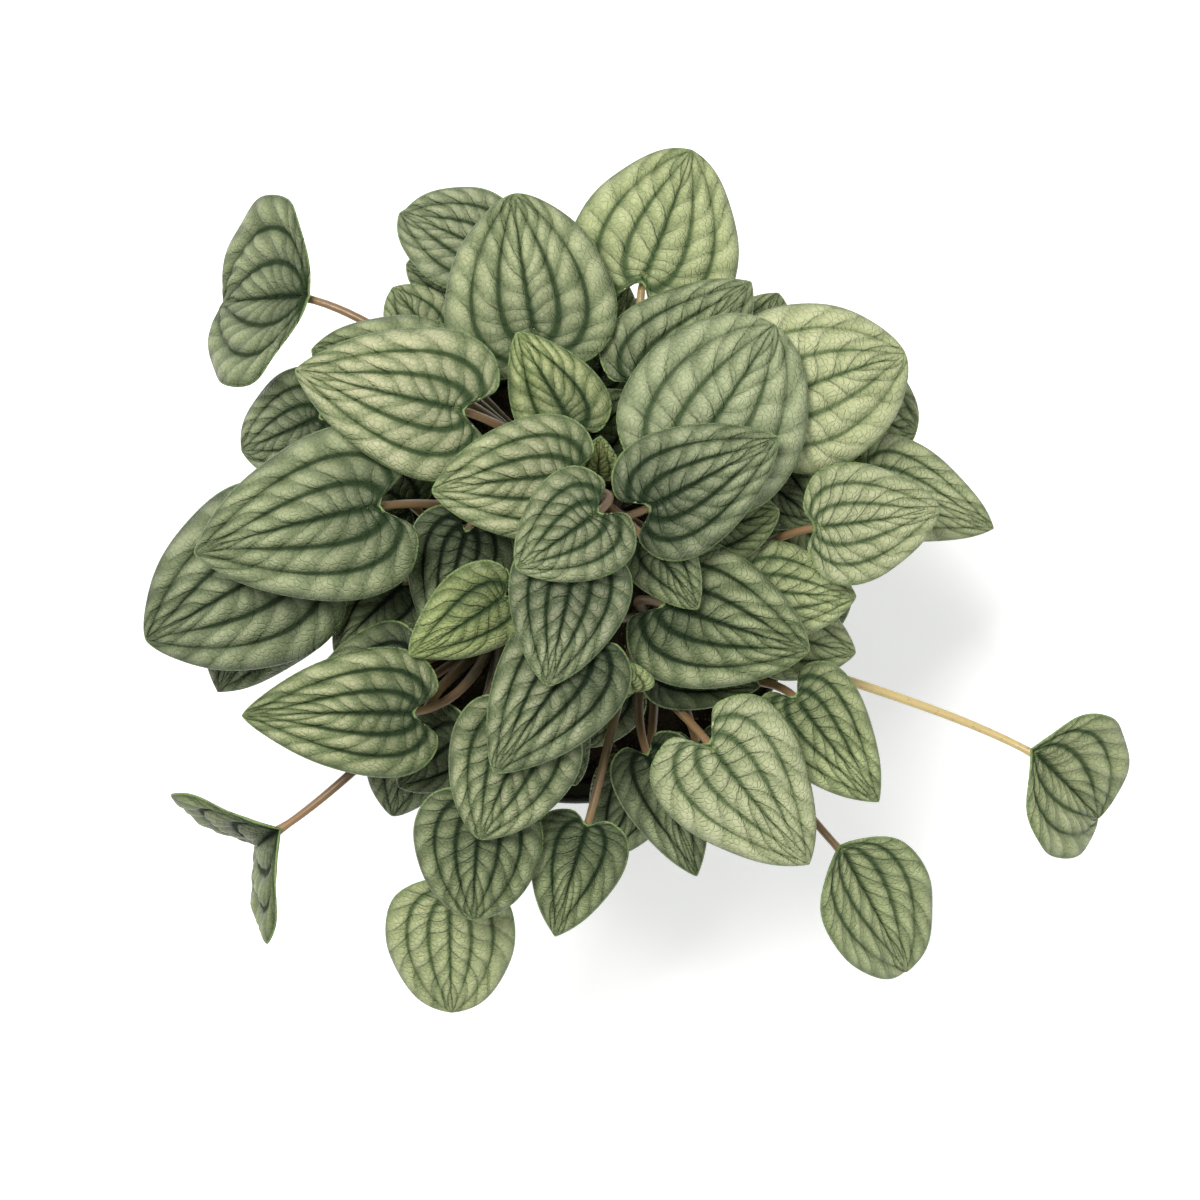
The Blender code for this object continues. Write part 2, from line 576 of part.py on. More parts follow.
def flower_spike(collection, shade):
    """One thin flower spike that rises from its own hole in the soil."""
    foot = np.array([*SPIKE_FOOT, SPIKE_LOW])
    tip = np.array(SPIKE_TIP)
    half = np.array([0.0, 0.0, (tip[2] - foot[2]) / 2])
    t = np.linspace(0.0, 1.0, SPIKE_POINTS)[:, None]
    low, high = (1 - t)**3 * foot, t**3 * tip
    points = low + 3 * (1 - t)**2 * t * (foot + half) + 3 * (1 - t) * t**2 * (tip - half) + high
    radii = np.where(np.arange(SPIKE_POINTS) % 2, SPIKE_RADIUS, SPIKE_RADIUS * SPIKE_WAIST)
    piece = tube("flower_spike", points, radii, collection)
    piece.data.materials.append(shade)
    return piece


def main():
    """Build all pieces of the plant and its pot."""
    for old in list(bpy.data.objects):
        bpy.data.objects.remove(old)
    plant = bpy.data.collections.new("ripple_peperomia")
    drain_cutters = bpy.data.collections.new("drain_cutters")
    hole_cutters = bpy.data.collections.new("hole_cutters")
    for collection in (plant, drain_cutters, hole_cutters):
        bpy.context.scene.collection.children.link(collection)
    finish = {name: material(name, *look) for name, look in FINISHES.items()}

    lifts = settle(LEAVES)
    pot(plant, drain_cutters, finish["pot"])
    soil(plant, hole_cutters, finish["soil"])
    for leaf in LEAVES:
        blade(leaf, lifts[leaf.name], finish["leaf"], plant)
    routes = grow_stalks(lifts)
    for name in CROWNS:
        crown(name, routes, lifts, plant, finish["stalk"])
    flower_spike(plant, finish["spike"])


main()
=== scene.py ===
"""Ripple peperomia in its nursery pot: the finished surfaces, light and camera.

The leaves, their lifts and the routes of their stalks follow the same table and rules as the solids.
Lengths are in millimetres and angles in degrees until a mesh is made, which is in metres.
"""

import math
from collections import namedtuple

import bmesh
import bpy
import numpy as np
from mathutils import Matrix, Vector
from mathutils.bvhtree import BVHTree


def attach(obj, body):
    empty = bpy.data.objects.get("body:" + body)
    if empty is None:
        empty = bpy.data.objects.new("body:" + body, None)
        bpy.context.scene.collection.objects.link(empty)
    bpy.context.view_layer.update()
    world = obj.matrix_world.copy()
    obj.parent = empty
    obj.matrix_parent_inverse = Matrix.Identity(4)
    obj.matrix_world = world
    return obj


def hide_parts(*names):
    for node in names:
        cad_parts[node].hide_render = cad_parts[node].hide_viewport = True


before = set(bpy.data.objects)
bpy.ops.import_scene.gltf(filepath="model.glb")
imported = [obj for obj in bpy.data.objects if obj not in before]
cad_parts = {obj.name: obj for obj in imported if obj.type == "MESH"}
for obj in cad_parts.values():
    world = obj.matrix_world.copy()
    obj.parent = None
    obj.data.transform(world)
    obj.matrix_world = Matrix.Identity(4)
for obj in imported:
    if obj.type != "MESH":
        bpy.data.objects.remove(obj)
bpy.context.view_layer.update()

MM = 0.001
BODY = "root"
MERGE = 0.01  # distance within which points of a blade's mesh are joined
rng = np.random.default_rng(7)

CLEAR = 0.3  # gap between pieces that touch

# Pot
POT_HEIGHT = 104.0
POT_TOP_RADIUS = 60.0
POT_BASE_RADIUS = 43.0
POT_WALL = 1.6
POT_FLOOR = 2.0
RIM_HEIGHT = 9.0
RIM_PROUD = 1.8
DRAIN_RADIUS = 4.0
DRAIN_CIRCLE = 29.0
DRAIN_COUNT = 6

# Soil, its top domed
SOIL_TOP = 92.0
SOIL_CROWN = 3.0

# Dome that the top leaves follow: the height of a leaf's foot, by its distance from the pot's axis
DOME_TOP = 196.0
DOME_FALL = 0.0052

# Blade
BLADE_THICK = 0.8
LOBE_BACK = 0.26  # how far the lobes reach behind the stalk, as a share of the width
SINUS_WIDTH = 0.12
SINUS_BACK = 0.05
ROUNDING = 0.85  # fullness of the outline near the stalk: lower is fuller
OUTLINE_SAMPLES = 201
LOBE_FOLD = 35.0  # the more a leaf is folded, the less its lobes reach back, down to the least share
LOBE_LEAST = 0.15
VEIN_PACE = 1.7  # how the points of the midrib crowd towards the stalk
ROW_CROWDING = 0.45  # how far the rows of a blade crowd towards its two ends
PUFF = 0.036  # rise of the quilting between veins, as a share of the width
WIDE_BANDS = 3  # quilted bands on each half of a wide blade, between its long veins
SMALL_BANDS = 2
BAND_SHAPE = 0.8  # lower makes the bands flatter on top and the veins sharper
SWELL_SHAPE = 0.5
EDGE_WAVE = 0.018
WAVE_COUNT = 3  # waves along each edge
WAVE_SHIFT = 0.37
ARCH_LONG = 0.10
ARCH_ACROSS = 0.10
SWAY = 0.05  # sideways bend of the midrib, as a share of the length
SWAY_PHASE = (1.3, 0.7)
TIP_CALM = 0.6  # how much the quilting dies away towards the tip
CALM_FROM = 0.6

WIDE_LEAF = 26.0  # width from which a blade has the wide ones' bands

# Layers: height map on which the blades are laid
MAP_REACH = 180.0
MAP_CELL = 1.2
LAYER_GAP = 2.2
LAID_STEPS = 60

# Stalks
STALK_FOOT_RADIUS = 1.6
STALK_END_RADIUS = 1.0
STALK_SEAT = 1.6  # how far ahead of the sinus the stalk meets the blade
STALK_ANGLE = 55.0  # angle between the stalk's end and the blade
STALK_LEAD = 0.15  # where the curve's first guide point lies, as a share of its run
STALK_HOOK = 0.28  # length over which the stalk turns up to the blade, as a share of its reach
SEAT_SPARE = 0.35
STALK_POINTS = 7
STALK_LOW = 97.0  # height at which the lowest and the highest stalk leave the stem
STALK_HIGH = 109.0

# Search for each stalk's route: sideways bows and rises tried in turn, smallest first
BOWS = (0, 5, -5, 10, -10, 15, -15, 21, -21, 28, -28, 36, -36)
RISES = (0.35, 0.2, 0.5, 0.05, 0.65, 0.8, 1.0)
ROUTE_SAMPLES = 33
ROOM_REACH = 8.0  # distance within which blades are looked for
ROOM_ENOUGH = 1.0
FAR = 99.0
TREE_GRID = (20, 16)

# Crowns: short stems, by name, at x, y
CROWNS = {"crown_n": (2.0, 21.0), "crown_e": (20.0, -12.0), "crown_w": (-19.0, -13.0)}
CROWN_RADIUS = 5.0
CROWN_FOOT = 70.0
CROWN_TOP = 112.0
POST_STEP = 3.0

# Flower spike
SPIKE_FOOT = (3.0, -14.0)
SPIKE_LOW = 84.0
SPIKE_TIP = (2.0, -28.0, 186.0)
SPIKE_RADIUS = 1.1

Leaf = namedtuple("Leaf", "name crown x y heading reach span drop pitch roll fold taper")

# The leaves, from the lowest to the topmost. x, y: the stalk's end; reach: plan length from there to
# the tip; span: width; drop: depth below the dome; pitch: nose down; fold: halves raised about the
# midrib; taper: how sharply the blade narrows to its tip
LEAVES = [
    Leaf("leaf_01", "crown_n", -30, 78, 160, 17, 19, 30, 28, 0, 0, 0.5),
    Leaf("leaf_02", "crown_n", -38, 63, 125, 18, 21, 32, 30, 0, 0, 0.5),
    Leaf("leaf_03", "crown_n", -19, 83, 151, 32, 28, 16, 26, 0, 22, 0.5),
    Leaf("leaf_04", "crown_w", -76, 3, 241, 43, 40, 26, 34, 0, 0, 0.8),
    Leaf("leaf_05", "crown_n", -68, 41, 200, 24, 30, 24, 34, 0, 0, 0.4),
    Leaf("leaf_06", "crown_n", -38, 49, 164, 34, 33, 16, 26, 0, 0, 0.6),
    Leaf("leaf_07", "crown_n", 6, 50, 76, 28, 21, 26, 24, 0, 0, 0.8),
    Leaf("leaf_08", "crown_n", 43, 53, 67, 25, 25, 22, 28, 0, 0, 0.6),
    Leaf("leaf_09", "crown_n", 69, 44, 341, 23, 33, 18, 26, 0, 0, 0.2),
    Leaf("leaf_10", "crown_e", 78, 25, 341, 37, 26, 14, 26, 0, 0, 0.8),
    Leaf("leaf_11", "crown_n", 57, 14, 315, 23, 22, 36, 30, 0, 0, 0.7),
    Leaf("leaf_12", "crown_n", 47, 25, 324, 19, 21, 26, 22, 0, 0, 0.4),
    Leaf("leaf_13", "crown_e", 52, -15, 344, 23, 23, 22, 30, 0, 0, 0.6),
    Leaf("leaf_14", "crown_e", 23, -23, 344, 26, 21, 42, 18, 0, 0, 0.8),
    Leaf("leaf_15", "crown_e", 17, -53, 248, 26, 23, 26, 34, 0, 0, 0.8),
    Leaf("leaf_16", "crown_w", -30, -42, 217, 22, 22, 26, 28, 0, 0, 0.6),
    Leaf("leaf_17", "crown_w", -45, -3, 221, 26, 24, 32, 24, 0, 0, 0.7),
    Leaf("leaf_18", "crown_w", -44, -22, 196, 29, 22, 30, 26, 0, 0, 0.8),
    Leaf("leaf_19", "crown_n", 1, 32, 46, 21, 22, 26, 16, 0, 0, 0.4),
    Leaf("leaf_20", "crown_n", -71, 73, 177, 26, 52, 0, 44, 10, 26, 0.3),
    Leaf("leaf_21", "crown_e", 122, -47, 319, 31, 40, -18, 42, -14, 30, 0.3),
    Leaf("leaf_22", "crown_e", 70, -72, 300, 43, 32, 6, 34, -14, 30, 0.5),
    Leaf("leaf_23", "crown_w", -78, -67, 213, 14, 47, 4, 67, 0, 42, 0.6),
    Leaf("leaf_24", "crown_w", -33, -87, 269, 32, 34, 12, 32, 0, 0, 0.2),
    Leaf("leaf_25", "crown_n", -28, 10, 253, 31, 27, 26, 18, 0, 0, 0.7),
    Leaf("leaf_26", "crown_w", -75, 4, 210, 46, 48, 14, 23, 0, 0, 0.5),
    Leaf("leaf_27", "crown_e", 19, -47, 295, 35, 23, 24, 20, 0, 0, 0.8),
    Leaf("leaf_28", "crown_e", 57, -32, 306, 36, 28, 8, 22, 0, 0, 0.8),
    Leaf("leaf_29", "crown_e", 3, -65, 252, 31, 25, 10, 22, 0, 10, 0.8),
    Leaf("leaf_30", "crown_e", 46, -4, 355, 27, 26, 12, 19, 0, 0, 0.6),
    Leaf("leaf_31", "crown_w", -24, -62, 263, 28, 33, 8, 23, 0, 0, 0.3),
    Leaf("leaf_32", "crown_n", 18, 77, 67, 39, 44, 6, 26, 0, 0, 0.4),
    Leaf("leaf_33", "crown_n", 19, 50, 44, 38, 33, 8, 20, 0, 0, 0.7),
    Leaf("leaf_34", "crown_n", 52, 45, 23, 37, 44, 4, 23, 0, 0, 0.3),
    Leaf("leaf_35", "crown_n", -10, 61, 102, 39, 44, 2, 22, 0, 0, 0.4),
    Leaf("leaf_36", "crown_w", -51, 17, 191, 50, 44, 2, 19, 0, 0, 0.7),
    Leaf("leaf_37", "crown_w", -42, -35, 180, 45, 33, 4, 18, 0, 0, 0.8),
    Leaf("leaf_38", "crown_e", 33, 11, 14, 20, 20, 14, 16, 0, 0, 0.5),
    Leaf("leaf_39", "crown_e", 62, 12, 6, 34, 31, 2, 23, 0, 14, 0.7),
    Leaf("leaf_40", "crown_e", 35, -44, 307, 41, 38, 2, 21, 0, 0, 0.7),
    Leaf("leaf_41", "crown_e", 24, -8, 341, 38, 37, 4, 15, 0, 0, 0.6),
    Leaf("leaf_42", "crown_n", -18, -6, 215, 28, 24, 8, 14, -20, 0, 0.7),
    Leaf("leaf_43", "crown_w", -13, -40, 250, 30, 33, 4, 18, 0, 0, 0.5),
    Leaf("leaf_44", "crown_n", -29, 41, 167, 44, 38, 0, 17, 0, 0, 0.7),
    Leaf("leaf_45", "crown_n", 29, 30, 54, 41, 47, 0, 18, 0, 0, 0.2),
    Leaf("leaf_46", "crown_e", 1, -20, 235, 37, 32, 0, 13, 0, 0, 0.7),
    Leaf("leaf_47", "crown_n", -1, 38, 120, 27, 24, 0, 14, 0, 0, 0.7),
    Leaf("leaf_48", "crown_n", -2, 24, 183, 34, 31, 0, 14, 0, 0, 0.6),
    Leaf("leaf_49", "crown_n", 19, 7, 310, 20, 18, 0, 14, 0, 0, 0.7),
    Leaf("leaf_50", "crown_n", 20, 17, 28, 36, 32, -4, 14, 0, 0, 0.7),
    Leaf("leaf_51", "crown_n", 0, 0, 257, 29, 30, -4, 12, 0, 0, 0.7),
    Leaf("leaf_52", "crown_n", 5, 14, 216, 23, 28, -8, 8, 0, 0, 0.6),
    Leaf("young_leaf_1", "crown_n", 6, 25, 86, 8, 12, 12, -58, 0, 26, 0.6),
    Leaf("young_leaf_2", "crown_e", 15, -29, 111, 7, 11, 6, -58, 0, 26, 0.6),
]

# Finer relief of the leaf blades, seen only here
FINE_THICK = 0.62
FINE_WIDE_GRID = (80, 46)  # columns and rows of a wide and of a small blade
FINE_SMALL_GRID = (60, 36)
RIB_PACE = 9.0  # side ribs along a blade
RIB_CROWDING = 0.9  # below 1, the ribs are closest together near the stalk
RIB_SLANT = 1.15  # how far the ribs lean to the tip on their way out, in quarters of the blade
RIB_SHIFT = 0.21  # how the place of the first rib changes with the leaf's x
RIB_PUFF = 0.28  # their swelling, as a share of the quilting
RIB_SHAPE = 0.7  # lower lets the ribs run closer to the long veins
# How the ribs waver: size in ribs, pace along s and a, and shift with the leaf's x and y
RIB_WAVER = ((0.20, 9.0, 5.0, 0.0, 2.1), (0.12, 17.0, -7.0, 1.0, 0.0))
DIMPLE = 0.10
DIMPLE_PACE = (5.1, 4.7)  # radians a millimetre, along and across the blade
EDGE_CALM = 0.9  # how much the ribs and dimples die away at the edge
EDGE_CALM_FROM = 0.8

# Dark band along a main vein. VEIN_HALF is its half width, which falls with s from VEIN_BROAD times that,
# and by VEIN_OUTER towards the outermost vein, and grows with the leaf's width
VEIN_HALF = 1.05
VEIN_BROAD = 1.4
VEIN_OUTER = 0.35
VEIN_LEAST = 0.5
VEIN_SPAN = 70.0
VEIN_END = 0.8  # where along s it starts to fade, earlier for the outer veins; the midrib's doesn't fade
VEIN_END_OUTER = 0.5
VEIN_FADE = 0.92
VEIN_FADE_RUN = 0.25
LOBE_HALF = 0.3  # least half width of a blade for the spacing of veins, growing with the distance
LOBE_WIDENING = 0.4

# Pale crests of the quilting, partly the leaf's own silver and partly a painted sheen
CREST_SHAPE = 0.42  # lower makes them wider
CREST_FADE = 0.5  # lower keeps them pale closer to both ends of the blade
CREST_RIBS = 0.16  # how much the side ribs show in them

# Finished stalks
STALK_RINGS = 30
STALK_SIDES = 12
STALK_REACH = 1.1  # how far a finished stalk runs on into the blade
STALK_FLARES = ((0.35, 0.93, 1.0), (0.5, 0.12, 0.0))  # at the blade and the foot: size, start and full
STALK_PALENESS = {"leaf_21": 0.85, "leaf_32": 0.3, "leaf_29": 0.1}
ODD_AXIS = (0.31, 0.27, 0.91)  # a direction along which no stalk runs

# Finished stems of the crowns
STEM_RINGS = 60
STEM_SIDES = 28
STEM_SLIMMER = 0.35  # how far a waist between knobs lies inside the solid
STEM_TONE = 0.05  # its place in the run of the stalks' colours, at the near-black foot, which is painted shade under the leaves
STEM_DOME = 4.0  # how far below its top a stem starts to close
STEM_CLOSING = 0.8  # how much narrower the top is than the stem
KNOB_RISE = 0.3
KNOB_PACE = 0.9  # radians a millimetre

# Finished spike. Pairs give where along it a change starts and where it is full
SPIKE_RINGS = 160
SPIKE_SIDES = 12
SPIKE_STEM = 0.8  # radius below the beads and what it gains above, as shares of the solid's
SPIKE_FULLER = 0.25
FULLER_BEGINS = (0.45, 0.6)
BEADS_BEGIN = (0.45, 0.55)
BEAD_RISE = 0.14
BEAD_COUNT = 45
TIP_BEGINS = (0.96, 1.0)
TIP_NARROWER = 0.75

# Finished pot
POT_SLOPE = (POT_TOP_RADIUS - POT_BASE_RADIUS) / POT_HEIGHT
POT_SIDES = 144
POT_MERGE = 0.03
HEART = 0.01  # radius of the rings that close it at the axis
EDGE = 0.5  # rounding of the rim's edges
CORNER = 0.6  # roundings of its other corners
FILLET = 0.4
FLOOR_BEVEL = 2.0
UNDERCUT = (0.1, 0.8)  # how far in and how far down from the rim's lower corner the wall starts
FOOT_ROUND = (1.4, 0.2)  # how far in the flat foot starts, and the height of the rounding's middle
WALL_RINGS = (14.0, 13.4, 1.2)  # heights of rings on the wall
DRILL_SIDES = 32
SHARP_FROM = 40.0  # angle between faces from which an edge is sharp

# Finished soil
SOIL_RINGS = 60
SOIL_SIDES = 160
SOIL_HEART = 0.05  # radius of the rings that close it at the axis
SOIL_MERGE = 0.12
SOIL_SUNK = 1.0  # how far its mean height is below the solid's, to leave room for clods
SOIL_LEVELS = (SOIL_TOP - 2, 3.0)  # heights of the pot's wall that set its upper and lower radius
CLODS = ((0.5, 0.55, 1.7, 0.31), (0.45, 0.61, 1.3, 0.43))  # rise, pace, bend and pace of the bend
GRAIN_RISE = 0.3
GRAIN_PACES = ((1.9, 1.1), (-0.8, 1.7))  # of its two crossed waves, by x and y
CRUMB_COUNT = 520
CRUMB_SIZES = (0.5, 1.9)
CRUMB_SHAPES = (0.5, 1.2)  # stretch along each of its three axes
CRUMB_JITTER = 0.3
CRUMB_LIFT = 0.2
CRUMB_MARGIN = 2.0  # from the soil's edge

# Tones of each leaf: youth (yellow-green), shade (painted shade: a leaf that lies in the shade of others gets
# darker colours) and warm (cream or taupe on the crests, partly the leaf's own tint and partly a painted
# sheen)
TONES = {
    "leaf_01": (0.1, 0.75, 0.1), "leaf_02": (0.3, 0.5, 0.4), "leaf_03": (0.0, 0.55, 0.3),
    "leaf_04": (0.15, 0.9, 0.0), "leaf_05": (0.0, 0.7, 0.2), "leaf_06": (0.2, 0.65, 0.2),
    "leaf_07": (0.0, 0.97, 0.0), "leaf_08": (0.3, 0.55, 0.1), "leaf_09": (0.35, 0.45, 0.3),
    "leaf_10": (0.35, 0.25, 0.3), "leaf_11": (0.3, 0.45, 0.2), "leaf_12": (0.2, 0.93, 0.0),
    "leaf_13": (0.4, 0.35, 0.3), "leaf_14": (0.1, 0.97, 0.0), "leaf_15": (0.2, 0.88, 0.0),
    "leaf_16": (0.2, 0.9, 0.0), "leaf_17": (0.1, 0.95, 0.0), "leaf_18": (0.1, 0.95, 0.0),
    "leaf_19": (0.1, 0.98, 0.0), "leaf_20": (0.1, 0.65, 0.1), "leaf_21": (0.45, 0.35, 0.3),
    "leaf_22": (0.4, 0.3, 0.1), "leaf_23": (0.4, 0.75, 0.1), "leaf_24": (0.5, 0.16, 0.3),
    "leaf_25": (0.0, 0.92, 0.0), "leaf_26": (0.0, 0.77, 0.2), "leaf_27": (0.1, 0.9, 0.0),
    "leaf_28": (0.5, 0.45, 0.2), "leaf_29": (0.3, 0.75, 0.1), "leaf_30": (0.5, 0.3, 0.3),
    "leaf_31": (0.3, 0.73, 0.3), "leaf_32": (0.5, 0.23, 0.3), "leaf_33": (0.1, 0.59, 0.1),
    "leaf_34": (0.45, 0.0, 0.5), "leaf_35": (0.25, 0.53, 0.4), "leaf_36": (0.15, 0.65, 0.3),
    "leaf_37": (0.45, 0.72, 0.9), "leaf_38": (0.6, 0.7, 0.1), "leaf_39": (0.35, 0.15, 0.5),
    "leaf_40": (0.3, 0.08, 0.4), "leaf_41": (0.3, 0.78, 0.5), "leaf_42": (0.85, 0.55, 0.2),
    "leaf_43": (0.3, 0.65, 0.7), "leaf_44": (0.4, 0.45, 1.0), "leaf_45": (0.05, 0.33, 0.1),
    "leaf_46": (0.15, 0.88, 0.8), "leaf_47": (0.8, 0.65, 0.7), "leaf_48": (0.4, 0.55, 0.8),
    "leaf_49": (0.3, 0.7, 0.2), "leaf_50": (0.05, 0.76, 0.3), "leaf_51": (0.1, 0.76, 0.8),
    "leaf_52": (0.2, 0.56, 0.5), "young_leaf_1": (0.95, 0.1, 0.2), "young_leaf_2": (0.95, 0.1, 0.2),
}

# Small shaded leaves under the dome: how many, and the ranges from which each is drawn
UNDER_COUNT = 18
UNDER_TRIES = 900
UNDER_SEED = 23
UNDER_RING = (22.0, 72.0)  # distance from the pot's axis
UNDER_HEIGHTS = (112.0, 158.0)
UNDER_REACH = (15.0, 25.0)
UNDER_SPAN = 0.95  # width as a share of the reach
UNDER_TURN = 30.0  # greatest turn away from straight outwards
UNDER_PITCH = (18.0, 42.0)
UNDER_TAPER = (0.3, 0.7)
UNDER_FOOT = 95.0
# their shade tone is high: painted shade for leaves deep under the dome
UNDER_TONES = (0.25, 0.86, 0.1)
UNDER_GRID = (10, 8)
UNDER_STALK_ROOM = 1.1  # least room from its middle surface to a stalk, to another blade, to the ground
UNDER_BLADE_ROOM = 2.0
UNDER_FLOOR_ROOM = 4.0
UNDER_ROUTE_ROOM = 0.2  # least room between its stalk and any blade or another crown's stalk
RIM_ZONE = 52.0  # distance from the axis beyond which the rim, and not the soil, is the ground

# Colours, as shares of red, green and blue light; a run gives each with its place
BLADE_RUN = ((0.0, (0.010, 0.018, 0.008)), (0.25, (0.062, 0.082, 0.040)), (0.5, (0.165, 0.198, 0.108)),
             (0.75, (0.325, 0.370, 0.215)), (1.0, (0.53, 0.56, 0.38)))
YOUTH_TINT = (1.10, 1.18, 0.66)
# tints of the brightest crests: partly the leaf's own and partly a painted sheen
TAUPE = (0.42, 0.37, 0.31)
CREAM = (0.66, 0.61, 0.38)
NET_GREEN = (0.09, 0.14, 0.065)
# painted shade in the creases between the side ribs
GROOVE_SHADE_GREEN = (0.045, 0.08, 0.032)
# painted shade in the hollow round the stalk of a leaf in shade
HUB_SHADE_GREEN = (0.014, 0.024, 0.012)
HUB_SHADE_REACH = 25.0  # how far from the stalk painted shade darkens a leaf in shade, most at the stalk
# the veins' own dark green, and near black for the veins of a leaf in shade, which is painted shade
VEIN_GREEN = (0.038, 0.080, 0.026)
SHADED_VEIN_BLACK = (0.001, 0.004, 0.001)
# paler green at the edge: partly the margin's own colour and partly a painted highlight
RIM_TINT_AND_HIGHLIGHT = (0.20, 0.28, 0.11)
DOT_GREEN = (0.30, 0.36, 0.14)
UNDERSIDE_RUN = ((0.25, (0.27, 0.36, 0.13)), (0.8, (0.40, 0.47, 0.20)))
UNDERSIDE_GROOVE = (0.20, 0.29, 0.09)
UNDERSIDE_VEIN = (0.44, 0.50, 0.24)
UNDERSIDE_SHADE = (0.45, 0.55, 0.40)
# near black low on the stalks is painted shade under the leaves; tan to red-brown at the blade is their own
# colour
STALK_RUN = ((0.0, (0.020, 0.024, 0.009)), (0.4, (0.050, 0.042, 0.018)), (0.8, (0.19, 0.115, 0.052)),
             (1.0, (0.27, 0.17, 0.09)))
STALK_PALE = (0.56, 0.44, 0.20)
STALK_SPECK = (0.20, 0.08, 0.05)
SPIKE_LINE = (0.30, 0.36, 0.10)
SPIKE_BEAD = (0.56, 0.58, 0.24)
PEAT_RUN = ((0.3, (0.012, 0.008, 0.005)), (0.55, (0.025, 0.017, 0.011)), (0.8, (0.07, 0.048, 0.03)))
PEAT_FLECK = (0.25, 0.18, 0.11)
POT_BLACK = (0.022, 0.021, 0.021)
POT_DUST = (0.075, 0.068, 0.06)

# Sockets of the step that blends colours, by number because several share a name
MIX_FACTOR, MIX_FIRST, MIX_SECOND, MIX_RESULT = 0, 6, 7, 2

# Light and camera, with places and lamp sizes in metres
WORLD_LIGHT = 0.30
WORLD_WHITE = (1.0, 1.0, 0.99)
FLOOR_REACH = 3000.0  # millimetres from the middle to each side
FLOOR_WHITE = (0.9, 0.9, 0.9)
FLOOR_GLOW = 0.42
LAMP_AIM = (0.0, 0.0, 0.15)
# Lamps: name, place, size, power and colour
LAMPS = (
    ("key", (-0.42, 0.46, 1.85), 0.6, 42.0, (1.0, 0.98, 0.94)),
    ("fill", (0.9, -0.5, 1.3), 1.0, 6.0, (0.95, 0.98, 1.0)),
)
CAMERA_PLACE = (0.0065, -0.0065, 1.15)
CAMERA_ANGLE = 17.7


def blade_parameters(columns, rows):
    """a and s over the grid, with the rows closer together near the stalk and near the tip."""
    even = np.linspace(0.0, 1.0, rows + 1)
    drawn = (1.0 - ROW_CROWDING) * even + ROW_CROWDING * (1.0 - np.cos(math.pi * even)) / 2
    return np.meshgrid(np.linspace(-1.0, 1.0, columns + 1), drawn)


def outline_width(s, taper):
    """Width of the outline against s, before it is brought to the leaf's own width.

    The sine gives the full lobes, and the falling power draws the far end out to a tip.
    """
    return np.sin(math.pi * s) ** ROUNDING * (1.0 - s) ** taper


def dome_height(leaf):
    """Height of the leaf's stalk point before it is lifted clear of the leaves below."""
    return DOME_TOP - DOME_FALL * (leaf.x**2 + leaf.y**2) - leaf.drop


def blade_grid(leaf, columns, rows):
    """The blade's middle surface, in millimetres, its stalk point at the leaf's place.

    a runs across the blade from edge to edge, 0 on the midrib, and s runs from the stalk to the tip, so
    that lines of equal a are the long arched veins. The edge goes back round a lobe on each side of the
    notch at the stalk and on to the tip, and every other point is on the straight line between the
    midrib and the edge at the same s. Height is the quilting of bands between veins, a wave along the
    edge, a droop with the square of the distance, and the fold about the midrib.
    """
    a, s = blade_parameters(columns, rows)
    length = leaf.reach / math.cos(math.radians(leaf.pitch))
    lobe = LOBE_BACK * leaf.span * max(LOBE_LEAST, 1.0 - leaf.fold / LOBE_FOLD)
    turn = math.pi * (1.0 - s)
    notch = (lobe - SINUS_BACK * leaf.span) * np.exp(-((math.pi * s / SINUS_WIDTH) ** 2))
    edge_x = (length - lobe) / 2 + (length + lobe) / 2 * np.cos(turn) + notch
    widest = np.max(outline_width(np.linspace(0.0, 1.0, OUTLINE_SAMPLES), leaf.taper))
    edge_y = leaf.span / 2 * outline_width(s, leaf.taper) / widest
    across = np.abs(a)
    x = (1.0 - across) * length * s**VEIN_PACE + across * edge_x
    y = a * edge_y
    bands = WIDE_BANDS if leaf.span >= WIDE_LEAF else SMALL_BANDS
    calm = 1.0 - TIP_CALM * np.clip((s - CALM_FROM) / (1.0 - CALM_FROM), 0.0, 1.0)
    swell = np.sin(math.pi * s) ** SWELL_SHAPE * calm
    puff = PUFF * leaf.span * (np.abs(np.sin(math.pi * bands * a)) ** BAND_SHAPE - 0.5) * swell
    turns = WAVE_COUNT * s + WAVE_SHIFT * leaf.x
    wave = EDGE_WAVE * leaf.span * np.sin(2 * math.pi * turns) * across**3 * swell
    lean = math.sin(SWAY_PHASE[0] * leaf.x + SWAY_PHASE[1] * leaf.y)
    y = y + SWAY * length * lean * (x / length) ** 2
    droop = ARCH_ACROSS * leaf.span * (2 * y / leaf.span) ** 2 + ARCH_LONG * length * (x / length) ** 2
    z = puff + wave - droop + np.abs(y) * math.tan(math.radians(leaf.fold))
    points = np.stack([x, y, z], axis=-1) @ leaf_turn(leaf).T
    return points + np.array([leaf.x, leaf.y, dome_height(leaf)])


def leaf_turn(leaf):
    """Matrix whose columns are the blade's forward, left and upward directions."""
    roll, pitch, heading = (math.radians(v) for v in (leaf.roll, leaf.pitch, leaf.heading))
    cos_x, sin_x, cos_y, sin_y = math.cos(roll), math.sin(roll), math.cos(pitch), math.sin(pitch)
    cos_z, sin_z = math.cos(heading), math.sin(heading)
    about_x = np.array([[1, 0, 0], [0, cos_x, -sin_x], [0, sin_x, cos_x]])
    about_y = np.array([[cos_y, 0, sin_y], [0, 1, 0], [-sin_y, 0, cos_y]])
    about_z = np.array([[cos_z, -sin_z, 0], [sin_z, cos_z, 0], [0, 0, 1]])
    return about_z @ about_y @ about_x


